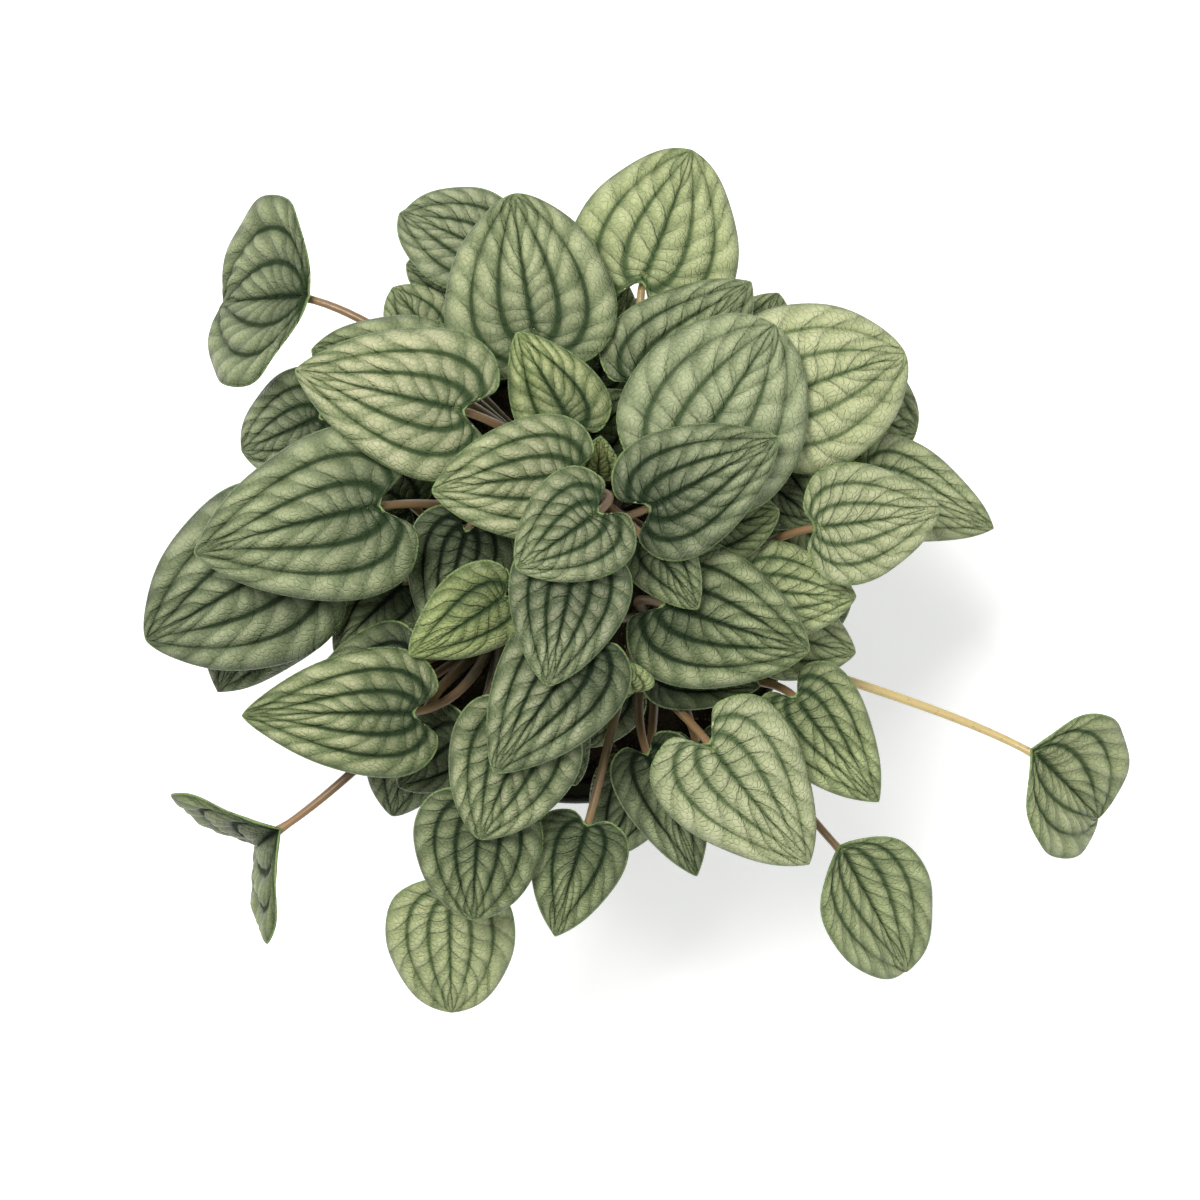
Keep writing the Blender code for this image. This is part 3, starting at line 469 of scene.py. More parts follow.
def settle(leaves):
    """Lift of each blade, laid in order from the lowest, that clears all the blades already laid.

    A young leaf, which stands up on its own, takes none.
    """
    size = int(2 * MAP_REACH / MAP_CELL)
    middle = (np.arange(size) + 0.5) * MAP_CELL - MAP_REACH
    radius = np.hypot(*np.meshgrid(middle, middle))
    laid = np.where(radius < POT_TOP_RADIUS + RIM_PROUD, POT_HEIGHT, 0.0)
    lifts = {}
    for leaf in leaves:
        if leaf.pitch < 0:
            lifts[leaf.name] = 0.0
            continue
        points = blade_grid(leaf, LAID_STEPS, LAID_STEPS).reshape(-1, 3)
        cells = ((points[:, :2] + MAP_REACH) / MAP_CELL).astype(int)
        near = np.zeros(len(points))
        for step_x in (-1, 0, 1):
            for step_y in (-1, 0, 1):
                near = np.maximum(near, laid[cells[:, 0] + step_x, cells[:, 1] + step_y])
        lift = max(0.0, float(np.max(near + LAYER_GAP - points[:, 2])))
        lifts[leaf.name] = lift
        np.maximum.at(laid, (cells[:, 0], cells[:, 1]), points[:, 2] + lift)
    return lifts


def stalk_end(leaf, lift):
    """Where the stalk ends under the blade, and the direction in which it arrives."""
    forward, _, up = leaf_turn(leaf).T
    angle = math.radians(STALK_ANGLE)
    arrive = up * math.sin(angle) + forward * math.cos(angle)
    foot = np.array([leaf.x, leaf.y, dome_height(leaf) + lift])
    seat = BLADE_THICK / 2 + CLEAR + SEAT_SPARE + STALK_END_RADIUS * math.cos(angle)
    return foot + STALK_SEAT * forward - seat * up, arrive


def cubic(t, start, first, last, end):
    """Points of the cubic curve from start to end that is drawn towards two guide points."""
    return (1 - t)**3 * start + 3 * (1 - t)**2 * t * first + 3 * (1 - t) * t**2 * last + t**3 * end


def stalk_path(foot, end, arrive, side, rise, points):
    """Cubic curve from the crown to the blade, bowed sideways by side and upwards by rise."""
    foot, end = np.array(foot), np.array(end)
    run = end - foot
    reach = np.linalg.norm(run)
    flat = np.array([-run[1], run[0], 0.0]) / math.hypot(run[0], run[1])
    first = foot + run * STALK_LEAD + np.array([0.0, 0.0, rise * reach]) + flat * side
    last = end - arrive * reach * STALK_HOOK
    t = np.linspace(0.0, 1.0, points)[:, None]
    return cubic(t, foot, first, last, end)


def stalk_radius(points):
    """Radii of a stalk from its foot to the blade."""
    return np.linspace(STALK_FOOT_RADIUS, STALK_END_RADIUS, points)


def along(path):
    """Points at even steps on the straight runs between the path's points, each with its radius."""
    place = np.linspace(0, len(path) - 1, ROUTE_SAMPLES)
    corners = np.arange(len(path))
    points = np.stack([np.interp(place, corners, path[:, i]) for i in range(3)], axis=1)
    return points, np.interp(place, corners, stalk_radius(len(path)))


def sampled_stalk(leaf, lift, foot, bow, rise):
    """Even samples of the stalk on one route, each with its radius."""
    end, arrive = stalk_end(leaf, lift)
    return along(stalk_path(foot, end, arrive, bow, rise, STALK_POINTS))


def blade_tree(leaf, lift):
    """Search tree of the blade's middle surface, for distances to it."""
    grid = blade_grid(leaf, *TREE_GRID) + np.array([0.0, 0.0, lift])
    rows, columns = grid.shape[:2]
    corner = (np.arange(rows - 1)[:, None] * columns + np.arange(columns - 1)).ravel()
    quads = np.stack([corner, corner + 1, corner + columns + 1, corner + columns], axis=1)
    return BVHTree.FromPolygons(grid.reshape(-1, 3).tolist(), quads.tolist())


def spare_room(path, radii, trees, others):
    """Least distance between a stalk and every blade and every stalk of another crown."""
    room = FAR
    for point, radius in zip(path, radii):
        spot = Vector(point)
        for tree in trees:
            found = tree.find_nearest(spot, ROOM_REACH)
            if found[3] is not None:
                room = min(room, found[3] - radius - BLADE_THICK / 2)
    if len(others):
        gaps = np.linalg.norm(path[:, None, :] - others[None, :, :3], axis=2)
        room = min(room, float(np.min(gaps - radii[:, None] - others[None, :, 3])))
    return room


def route(leaf, lift, foot, trees, others):
    """The bow and rise of the first route that clears every blade and the other crowns' stalks.

    The last samples, where the stalk meets its own blade, aren't tested. Where no route has room
    enough, the roomiest one is taken.
    """
    best, best_room = None, -FAR
    for bow in BOWS:
        for rise in RISES:
            path, radii = sampled_stalk(leaf, lift, foot, bow, rise)
            room = spare_room(path[:-2], radii[:-2], trees, others)
            if room > best_room:
                best, best_room = (bow, rise), room
            if room >= ROOM_ENOUGH:
                return best
    return best


def grow_stalks(lifts):
    """Routes for all stalks, the lowest leaves first: each as (leaf, foot, bow, rise)."""
    trees = [blade_tree(leaf, lifts[leaf.name]) for leaf in LEAVES]
    posts = {name: crown_post(name) for name in CROWNS}
    laid = {name: [] for name in CROWNS}
    routes = []
    for i, leaf in enumerate(LEAVES):
        others = [np.array(rows) for name in CROWNS if name != leaf.crown for rows in laid[name]]
        others += [posts[name] for name in CROWNS if name != leaf.crown]
        x, y = CROWNS[leaf.crown]
        foot = (x, y, STALK_LOW + (STALK_HIGH - STALK_LOW) * i / len(LEAVES))
        bow, rise = route(leaf, lifts[leaf.name], foot, trees, np.concatenate(others))
        laid[leaf.crown].append(np.column_stack(sampled_stalk(leaf, lifts[leaf.name], foot, bow, rise)))
        routes.append((leaf, foot, bow, rise))
    return routes


def crown_post(name):
    """The crown's stem as points along its axis, each with the stem's radius."""
    x, y = CROWNS[name]
    heights = np.arange(SOIL_TOP, CROWN_TOP, POST_STEP)
    return np.array([(x, y, z, CROWN_RADIUS) for z in heights])


def smooth(value, low, high):
    """0 at low and 1 at high, with a soft start and stop; high may be below low."""
    t = np.clip((value - low) / (high - low), 0.0, 1.0)
    return t * t * (3 - 2 * t)


def put_mesh(name, points, *face_sets):
    """A mesh object from arrays: points in millimetres, and faces as rows of vertex numbers."""
    mesh = bpy.data.meshes.new(name)
    corners = np.concatenate([faces.ravel() for faces in face_sets])
    sizes = np.concatenate([np.full(len(faces), faces.shape[1]) for faces in face_sets])
    mesh.vertices.add(len(points))
    mesh.vertices.foreach_set("co", (points * MM).astype(np.float32).ravel())
    mesh.loops.add(len(corners))
    mesh.loops.foreach_set("vertex_index", corners.astype(np.int32))
    mesh.polygons.add(len(sizes))
    mesh.polygons.foreach_set("loop_start", (np.cumsum(sizes) - sizes).astype(np.int32))
    mesh.polygons.foreach_set("use_smooth", np.ones(len(sizes), dtype=bool))
    mesh.update(calc_edges=True)
    mesh.validate()
    piece = bpy.data.objects.new(name, mesh)
    bpy.context.scene.collection.objects.link(piece)
    return piece


def grid_faces(rows, columns, wrap=False):
    """Corner numbers of the quads of a grid of points, rows by columns, joined round when wrapped."""
    row = np.arange(rows - 1)[:, None]
    column = np.arange(columns if wrap else columns - 1)[None, :]
    after = (column + 1) % columns
    low, high = row * columns, (row + 1) * columns
    return np.stack([low + column, low + after, high + after, high + column], axis=-1).reshape(-1, 4)


def merge_close(piece, distance=MERGE):
    """Join points of the mesh that are closer together than the distance."""
    bm = bmesh.new()
    bm.from_mesh(piece.data)
    bmesh.ops.remove_doubles(bm, verts=bm.verts, dist=distance * MM)
    bm.to_mesh(piece.data)
    bm.free()


def set_value(piece, name, values):
    """Store one value a point with the mesh, for its material to read."""
    layer = piece.data.attributes.new(name, "FLOAT", "POINT")
    layer.data.foreach_set("value", np.asarray(values, dtype=np.float32).ravel())


def fine_blade(leaf, lift):
    """Points and surface facts of a finished blade, on a grid from edge to edge and stalk to tip.

    The middle surface is that of the solid. Added along the blade's upward direction are side ribs, as
    the cosine of the count of ribs passed, and small dimples from crossed sines. Both die away at the
    edge. The facts are: vein, the distance to the nearest main vein in half widths of its dark band;
    crest, how high on the quilting a point is; rib, the count of side ribs passed; rim, millimetres to
    the edge; hub, millimetres to the stalk.
    """
    wide = leaf.span >= WIDE_LEAF
    columns, rows = FINE_WIDE_GRID if wide else FINE_SMALL_GRID
    bands = WIDE_BANDS if wide else SMALL_BANDS
    base = blade_grid(leaf, columns, rows)
    a, s = blade_parameters(columns, rows)
    across = np.abs(a)
    turn = leaf_turn(leaf)
    flat = (base - np.array([leaf.x, leaf.y, dome_height(leaf)])) @ turn
    swell = np.sin(math.pi * s) ** SWELL_SHAPE
    band = np.abs(np.sin(math.pi * bands * a))
    side = np.where(a >= 0, 0.0, 0.5)
    rib = RIB_PACE * s**RIB_CROWDING - RIB_SLANT * across * RIB_PACE / 4 + side + RIB_SHIFT * leaf.x
    for size, by_s, by_a, by_x, by_y in RIB_WAVER:
        rib = rib + size * np.sin(by_s * s + by_a * a + by_x * leaf.x + by_y * leaf.y)
    ribs = np.cos(2 * math.pi * rib)
    puff = PUFF * leaf.span * RIB_PUFF * ribs * band**RIB_SHAPE * swell
    dimple_x = np.sin(DIMPLE_PACE[0] * flat[..., 0] + leaf.y)
    dimple_y = np.sin(DIMPLE_PACE[1] * flat[..., 1] + leaf.x)
    relief = puff + DIMPLE * dimple_x * dimple_y * band * swell
    calm = 1.0 - EDGE_CALM * smooth(across, EDGE_CALM_FROM, 1.0)
    points = base + (relief * calm)[..., None] * turn[:, 2] + np.array([0.0, 0.0, lift])
    vein_lines = np.arange(1 - bands, bands) / bands
    gaps = np.abs(a[..., None] - vein_lines)
    line = np.abs(vein_lines)[np.argmin(gaps, axis=-1)]
    fade_from = VEIN_END - VEIN_END_OUTER * line
    fade = 1.0 - VEIN_FADE * smooth(s, fade_from, fade_from + VEIN_FADE_RUN) * (line > 0)
    band_half = VEIN_HALF * (VEIN_BROAD - s) * (1.0 - VEIN_OUTER * line)
    band_half = band_half * (VEIN_LEAST + leaf.span / VEIN_SPAN) * fade
    hub = np.hypot(flat[..., 0], flat[..., 1])
    half_width = np.abs(flat[:, -1:, 1] - flat[:, :1, 1]) / 2
    half_width = np.maximum(half_width, LOBE_WIDENING * hub + LOBE_HALF)
    walked = np.linalg.norm(np.diff(points, axis=1, prepend=points[:, :1]), axis=2).cumsum(axis=1)
    facts = {
        "vein": np.min(gaps, axis=-1) * half_width / band_half,
        "crest": band**CREST_SHAPE * swell**CREST_FADE * (1.0 - CREST_RIBS + CREST_RIBS * ribs),
        "rib": rib,
        "rim": np.minimum(walked, walked[:, -1:] - walked),
        "hub": hub,
    }
    return points, facts


def leaf_blade(leaf, lift, shades):
    """A finished leaf: upper and under side with their own finishes, and a thin rim."""
    points, facts = fine_blade(leaf, lift)
    rows, columns = points.shape[:2]
    piece = put_mesh(f"blade_{leaf.name}", points.reshape(-1, 3), grid_faces(rows, columns)[:, ::-1])
    for fact, values in facts.items():
        set_value(piece, fact, values)
    for tone, value in zip(("youth", "shade", "warm"), TONES.get(leaf.name, UNDER_TONES)):
        set_value(piece, tone, np.full(rows * columns, value))
    merge_close(piece)
    for finish in shades:
        piece.data.materials.append(finish)
    thicken = piece.modifiers.new("thickness", "SOLIDIFY")
    thicken.thickness = FINE_THICK * MM
    thicken.offset = 0.0
    thicken.material_offset = 1
    thicken.material_offset_rim = 0
    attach(piece, BODY)
    if leaf in LEAVES:
        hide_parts(leaf.name)


def drawn_leaf(draw, number):
    """A small leaf at a drawn place under the dome, headed away from the nearest crown."""
    angle, distance = draw.uniform(0.0, 2 * math.pi), draw.uniform(*UNDER_RING)
    x, y = distance * math.cos(angle), distance * math.sin(angle)
    crown = min(CROWNS, key=lambda name: math.dist((x, y), CROWNS[name]))
    outward = math.degrees(math.atan2(y - CROWNS[crown][1], x - CROWNS[crown][0]))
    heading = outward + draw.uniform(-UNDER_TURN, UNDER_TURN)
    reach = draw.uniform(*UNDER_REACH)
    drop = DOME_TOP - DOME_FALL * distance**2 - draw.uniform(*UNDER_HEIGHTS)
    pitch, taper = draw.uniform(*UNDER_PITCH), draw.uniform(*UNDER_TAPER)
    span = UNDER_SPAN * reach
    return Leaf(f"under_{number:02d}", crown, x, y, heading, reach, span, drop, pitch, 0.0, 0.0, taper)


def undergrowth(lifts, routes):
    """Small shaded leaves with their stalks, added to lifts and routes.

    Places are drawn one after another, and a leaf is kept where its blade clears every other blade,
    stalk and the soil, and its stalk clears every blade and the other crowns' stalks.
    """
    draw = np.random.default_rng(UNDER_SEED)
    trees = [blade_tree(leaf, lifts[leaf.name]) for leaf in LEAVES]
    laid = {name: [crown_post(name)] for name in CROWNS}
    for leaf, foot, bow, rise in routes:
        laid[leaf.crown].append(np.column_stack(sampled_stalk(leaf, lifts[leaf.name], foot, bow, rise)))
    grown = []
    for _ in range(UNDER_TRIES):
        if len(grown) == UNDER_COUNT:
            break
        leaf = drawn_leaf(draw, len(grown) + 1)
        points = blade_grid(leaf, *UNDER_GRID).reshape(-1, 3)
        at_rim = np.hypot(points[:, 0], points[:, 1]) > RIM_ZONE
        floor = np.where(at_rim, POT_HEIGHT, SOIL_TOP) + UNDER_FLOOR_ROOM
        stalks = np.concatenate([rows for name in CROWNS for rows in laid[name]])
        gaps = np.linalg.norm(points[:, None] - stalks[None, :, :3], axis=2) - stalks[None, :, 3]
        if np.any(points[:, 2] < floor) or np.min(gaps) < UNDER_STALK_ROOM:
            continue
        spots = [Vector(point) for point in points]
        found = (tree.find_nearest(spot, UNDER_BLADE_ROOM)[0] for tree in trees for spot in spots)
        if any(place is not None for place in found):
            continue
        foot = (*CROWNS[leaf.crown], UNDER_FOOT)
        others = np.concatenate([rows for name in CROWNS if name != leaf.crown for rows in laid[name]])
        bow, rise = route(leaf, 0.0, foot, trees, others)
        path, radii = sampled_stalk(leaf, 0.0, foot, bow, rise)
        if spare_room(path[:-2], radii[:-2], trees, others) < UNDER_ROUTE_ROOM:
            continue
        lifts[leaf.name] = 0.0
        laid[leaf.crown].append(np.column_stack([path, radii]))
        trees.append(blade_tree(leaf, 0.0))
        routes.append((leaf, foot, bow, rise))
        grown.append(leaf)
    return grown


def tube_points(path, radii, sides):
    """Rings of points round a path, each square to it and turned alike, as measured from one odd axis."""
    ahead = np.gradient(path, axis=0)
    ahead /= np.linalg.norm(ahead, axis=1, keepdims=True)
    across = np.cross(ahead, np.array(ODD_AXIS))
    across /= np.linalg.norm(across, axis=1, keepdims=True)
    upward = np.cross(across, ahead)
    turn = np.linspace(0.0, 2 * math.pi, sides, endpoint=False)[None, :, None]
    ring = across[:, None, :] * np.cos(turn) + upward[:, None, :] * np.sin(turn)
    return path[:, None, :] + ring * radii[:, None, None]


def capped_tube(path, radii, sides):
    """Points and faces of a tube that closes on a middle point at each end."""
    rings = tube_points(path, radii, sides)
    count = len(path)
    points = np.concatenate([rings.reshape(-1, 3), path[:1], path[-1:]])
    around = np.arange(sides)
    after = (around + 1) % sides
    start = np.stack([np.full(sides, count * sides), around, after], axis=1)
    last = (count - 1) * sides
    end = np.stack([np.full(sides, count * sides + 1), last + after, last + around], axis=1)
    return points, grid_faces(count, sides, wrap=True)[:, ::-1], np.concatenate([start, end])


class Shade:
    """A material under construction: each method adds one step and gives back its output."""

    def __init__(self, name):
        self.material = bpy.data.materials.new(name)
        self.material.use_nodes = True
        self.tree = self.material.node_tree
        self.surface = self.tree.nodes["Principled BSDF"]
        self.place = self.tree.nodes.new("ShaderNodeTexCoord").outputs["Object"]

    def feed(self, socket, value):
        """Join an output to a socket, or set the socket to a number or a colour."""
        if isinstance(value, bpy.types.NodeSocket):
            self.tree.links.new(value, socket)
        elif isinstance(value, tuple) and len(value) == 3 and socket.type == "RGBA":
            socket.default_value = (*value, 1.0)
        else:
            socket.default_value = value

    def fact(self, name):
        """A value stored with the points of the mesh."""
        node = self.tree.nodes.new("ShaderNodeAttribute")
        node.attribute_name = name
        return node.outputs["Fac"]

    def calc(self, operation, *values):
        """One step of arithmetic."""
        node = self.tree.nodes.new("ShaderNodeMath")
        node.operation = operation
        for socket, value in zip(node.inputs, values):
            self.feed(socket, value)
        return node.outputs[0]

    def times(self, first, second):
        """The product of two values."""
        return self.calc("MULTIPLY", first, second)

    def line(self, value, slope, start):
        """The value times slope, plus start."""
        return self.calc("MULTIPLY_ADD", value, slope, start)

    def spread(self, value, low, high):
        """0 at low, 1 at high, with a soft start and stop; high may be below low."""
        node = self.tree.nodes.new("ShaderNodeMapRange")
        node.interpolation_type = "SMOOTHSTEP"
        flip = high < low
        for name, entry in (("Value", value), ("From Min", min(low, high)), ("From Max", max(low, high)),
                            ("To Min", 1.0 if flip else 0.0), ("To Max", 0.0 if flip else 1.0)):
            self.feed(node.inputs[name], entry)
        return node.outputs["Result"]

    def blend(self, factor, first, second, kind="MIX"):
        """The first colour at factor 0, and the second one, or both multiplied, at factor 1."""
        node = self.tree.nodes.new("ShaderNodeMix")
        node.data_type = "RGBA"
        node.blend_type = kind
        self.feed(node.inputs[MIX_FACTOR], factor)
        self.feed(node.inputs[MIX_FIRST], first)
        self.feed(node.inputs[MIX_SECOND], second)
        return node.outputs[MIX_RESULT]

    def stain(self, color, tint, mask, strength, kind="MIX"):
        """The colour taken towards a tint, by a mask times a strength."""
        return self.blend(self.times(mask, strength), color, tint, kind)

    def ramp(self, value, stops):
        """The colour at a value between stops, each a place and its colour."""
        node = self.tree.nodes.new("ShaderNodeValToRGB")
        bar = node.color_ramp.elements
        while len(bar) < len(stops):
            bar.new(0.5)
        for entry, (place, color) in zip(bar, stops):
            entry.position = place
            entry.color = (*color, 1.0)
        self.feed(node.inputs[0], value)
        return node.outputs[0]

    def noise(self, scale, detail=3.0):
        """Soft noise, its scale in patches a metre."""
        node = self.tree.nodes.new("ShaderNodeTexNoise")
        self.feed(node.inputs["Vector"], self.place)
        node.inputs["Scale"].default_value = scale
        node.inputs["Detail"].default_value = detail
        return node.outputs["Fac"]

    def cells(self, scale):
        """Distance to the border of the nearest cell, with the scale in cells a metre."""
        node = self.tree.nodes.new("ShaderNodeTexVoronoi")
        node.feature = "DISTANCE_TO_EDGE"
        self.feed(node.inputs["Vector"], self.place)
        node.inputs["Scale"].default_value = scale
        return node.outputs["Distance"]

    def relief(self, height, depth, strength=1.0):
        """Fine bumps from a height, their depth in metres."""
        node = self.tree.nodes.new("ShaderNodeBump")
        node.inputs["Distance"].default_value = depth
        node.inputs["Strength"].default_value = strength
        self.feed(node.inputs["Height"], height)
        self.tree.links.new(node.outputs["Normal"], self.surface.inputs["Normal"])

    def close(self, color, roughness, **settings):
        """The finished material, with its colour, roughness and any other settings by name."""
        self.feed(self.surface.inputs["Base Color"], color)
        self.feed(self.surface.inputs["Roughness"], roughness)
        for name, value in settings.items():
            self.surface.inputs[name.replace("_", " ")].default_value = value
        return self.material


def vein_steps(shade):
    """The dark band along main veins, the side grooves and the fine net between them."""
    wobble = shade.line(shade.noise(420.0, 4.0), 0.5, -0.25)
    dark = shade.spread(shade.calc("ADD", shade.fact("vein"), wobble), 1.25, 0.4)
    turn = shade.line(shade.noise(170.0), 0.3, shade.fact("rib"))
    groove = shade.calc("ABSOLUTE", shade.calc("SUBTRACT", shade.calc("FRACT", turn), 0.5))
    side = shade.spread(groove, 0.15, 0.0)
    net = shade.spread(shade.cells(560.0), 0.16, 0.02)
    return dark, side, net


def leaf_top():
    """Silver-green quilting with dark sunken veins, a light rim and a fine glitter; the pale crests are
    partly a painted sheen, and the light rim partly a painted highlight.

    A leaf in shade has painted shade: darker crests and veins, darkest near its stalk; a young one is
    yellower; a warm one has cream or taupe on its crests, partly its own tint and partly a painted sheen.
    """
    shade = Shade("leaf_top")
    dark, side, net = vein_steps(shade)
    painted_shade, youth, hub = shade.fact("shade"), shade.fact("youth"), shade.fact("hub")
    grain = shade.noise(1900.0, 2.0)
    # painted shade: a leaf in shade has all its colours lowered, most in its hollows
    lift = shade.line(painted_shade, -0.53, 0.35)
    # crests paler: partly the leaf's own silver and partly a painted sheen
    level = shade.line(shade.line(painted_shade, 0.25, 0.55), shade.fact("crest"), lift)
    for noise, size in ((shade.noise(90.0, 2.0), 0.36), (grain, 0.20)):
        level = shade.calc("ADD", level, shade.line(noise, size, -size / 2))
    color = shade.ramp(level, BLADE_RUN)
    color = shade.stain(color, YOUTH_TINT, youth, 0.8, "MULTIPLY")
    # cream or taupe on the brightest crests: partly tint, partly painted sheen
    glow = shade.times(shade.spread(level, 0.40, 0.85), shade.fact("warm"))
    color = shade.stain(color, shade.blend(youth, TAUPE, CREAM), glow, 0.5)
    color = shade.stain(color, NET_GREEN, net, 0.07)
    # painted shade in the creases between the side ribs
    color = shade.stain(color, GROOVE_SHADE_GREEN, side, 0.18)
    # painted shade: a leaf in shade darkens towards its stalk, and its vein bands widen there
    hub_shade = shade.spread(hub, HUB_SHADE_REACH, 1.0)
    color = shade.stain(color, HUB_SHADE_GREEN, shade.times(hub_shade, 0.85), painted_shade)
    band = shade.times(dark, shade.line(hub_shade, 0.18, 0.82))
    # veins run from their own dark green to a painted near-black shade on a leaf in shade, and show more
    vein_color = shade.blend(painted_shade, VEIN_GREEN, SHADED_VEIN_BLACK)
    color = shade.stain(color, vein_color, band, shade.line(painted_shade, 0.40, 0.60))
    # paler edge: partly the margin's own colour and partly a painted highlight
    color = shade.blend(shade.spread(shade.fact("rim"), 0.75, 0.15), color, RIM_TINT_AND_HIGHLIGHT)
    dot = shade.spread(hub, 1.1, 0.6)
    # the pale dot at the stalk fades under painted shade
    color = shade.stain(color, DOT_GREEN, dot, shade.calc("SUBTRACT", 0.7, painted_shade))
    height = shade.times(grain, 0.35)
    for mask, depth in ((net, -0.5), (side, -0.9)):
        height = shade.calc("ADD", height, shade.times(mask, depth))
    shade.relief(height, 0.0004, 0.9)
    rough = shade.line(dark, 0.45, shade.line(grain, 0.40, 0.24))
    return shade.close(color, rough, Specular_IOR_Level=0.18)


def leaf_under():
    """Pale yellow-green underside whose veins stand out a little."""
    shade = Shade("leaf_under")
    dark, side, _ = vein_steps(shade)
    color = shade.ramp(shade.noise(120.0), UNDERSIDE_RUN)
    color = shade.stain(color, UNDERSIDE_GROOVE, side, 0.25)
    color = shade.stain(color, UNDERSIDE_VEIN, dark, 0.7)
    # painted shade: the underside of a leaf in shade is darker
    color = shade.stain(color, UNDERSIDE_SHADE, shade.fact("shade"), 0.6, "MULTIPLY")
    shade.relief(shade.calc("ADD", shade.times(dark, -1.0), side), 0.0003, 0.7)
    return shade.close(color, 0.46, Specular_IOR_Level=0.4)


def stalk_skin():
    """Stalks, near black at the foot with painted shade under the leaves, tan at the blade, a few of them
    paler, with fine red specks.
    """
    shade = Shade("stalk_skin")
    color = shade.blend(shade.fact("pale"), shade.ramp(shade.fact("out"), STALK_RUN), STALK_PALE)
    speck = shade.spread(shade.noise(900.0), 0.55, 0.75)
    color = shade.stain(color, STALK_SPECK, speck, 0.4)
    shade.relief(shade.noise(1500.0), 0.00015, 0.6)
    return shade.close(color, 0.38, Specular_IOR_Level=0.5)


def spike_skin():
    """Yellow-green beads with darker lines between them."""
    shade = Shade("spike_skin")
    bead = shade.spread(shade.cells(1500.0), 0.0, 0.25)
    shade.relief(bead, 0.0003, 0.8)
    return shade.close(shade.blend(bead, SPIKE_LINE, SPIKE_BEAD), 0.5)


def peat():
    """Dark peat with fibres and a few paler grains."""
    shade = Shade("peat")
    color = shade.ramp(shade.noise(160.0, 6.0), PEAT_RUN)
    fleck = shade.spread(shade.noise(700.0, 2.0), 0.68, 0.74)
    color = shade.stain(color, PEAT_FLECK, fleck, 0.6)
    shade.relief(shade.noise(900.0, 6.0), 0.0012)
    return shade.close(color, 0.95, Specular_IOR_Level=0.2)


def pot_plastic():
    """Dark moulded plastic with a faint grain and dusty scuffs."""
    shade = Shade("pot_plastic")
    dust = shade.spread(shade.noise(45.0, 6.0), 0.45, 0.8)
    color = shade.stain(POT_BLACK, POT_DUST, dust, 0.35)
    shade.relief(shade.noise(2400.0, 2.0), 0.00008, 0.7)
    return shade.close(color, shade.line(dust, 0.25, 0.38))


def grow_crown(name, routes, lifts, skin):
    """All stalks of one crown and its knobby stem, as one piece of closed tubes.

    Its points carry out, how far along their stalk they are, and pale, how pale that stalk is.
    """
    points, quads, wedges, out, pale = [], [], [], [], []

    def add(path, radii, sides, progress, paleness):
        tube, tube_quads, tube_wedges = capped_tube(path, radii, sides)
        total = sum(map(len, points))
        points.append(tube)
        quads.append(tube_quads + total)
        wedges.append(tube_wedges + total)
        out.append(np.concatenate([np.repeat(progress, sides), progress[:1], progress[-1:]]))
        pale.append(np.full(len(tube), paleness))

    for leaf, foot, bow, rise in routes:
        if leaf.crown != name:
            continue
        end, arrive = stalk_end(leaf, lifts[leaf.name])
        path = stalk_path(foot, end, arrive, bow, rise, STALK_RINGS)
        path = np.concatenate([path, path[-1:] + arrive * STALK_REACH])
        progress = np.linspace(0.0, 1.0, len(path))
        radii = stalk_radius(len(path))
        for size, start, full in STALK_FLARES:
            radii = radii + size * smooth(progress, start, full)
        add(path, radii, STALK_SIDES, progress, STALK_PALENESS.get(leaf.name, 0.0))
    height = np.linspace(CROWN_FOOT, CROWN_TOP, STEM_RINGS)
    path = np.column_stack([np.full((STEM_RINGS, 2), CROWNS[name]), height])
    knobs = KNOB_RISE * np.abs(np.sin(height * KNOB_PACE)) - STEM_SLIMMER
    closing = STEM_CLOSING * smooth(height, CROWN_TOP - STEM_DOME, CROWN_TOP + 1)
    add(path, CROWN_RADIUS * (1 - closing) + knobs, STEM_SIDES, np.full(STEM_RINGS, STEM_TONE), 0.0)
    faces = np.concatenate(quads), np.concatenate(wedges)
    piece = put_mesh(f"stalks_{name}", np.concatenate(points), *faces)
    set_value(piece, "out", np.concatenate(out))
    set_value(piece, "pale", np.concatenate(pale))
    piece.data.materials.append(skin)
    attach(piece, BODY)
    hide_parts(name)


def spike(skin):
    """The flower spike: a thin bent tube, beaded along its upper part."""
    foot, tip = np.array([*SPIKE_FOOT, SPIKE_LOW]), np.array(SPIKE_TIP)
    half = np.array([0.0, 0.0, (tip[2] - foot[2]) / 2])
    progress = np.linspace(0.0, 1.0, SPIKE_RINGS)
    path = cubic(progress[:, None], foot, foot + half, tip - half, tip)
    beads = BEAD_RISE * smooth(progress, *BEADS_BEGIN) * np.sin(2 * math.pi * BEAD_COUNT * progress)
    radii = SPIKE_RADIUS * (SPIKE_STEM + SPIKE_FULLER * smooth(progress, *FULLER_BEGINS)) + beads
    radii = radii * (1 - TIP_NARROWER * smooth(progress, *TIP_BEGINS))
    points, quads, wedges = capped_tube(path, radii, SPIKE_SIDES)
    piece = put_mesh("spike", points, quads, wedges)
    piece.data.materials.append(skin)
    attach(piece, BODY)
    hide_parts("flower_spike")


def circle(radius, sides, height):
    """Points of level rings, their radii in a column and their heights in a column or all the same."""
    turn = np.linspace(0.0, 2 * math.pi, sides, endpoint=False)
    return np.stack([radius * np.cos(turn), radius * np.sin(turn), height + 0 * radius * turn], axis=-1)


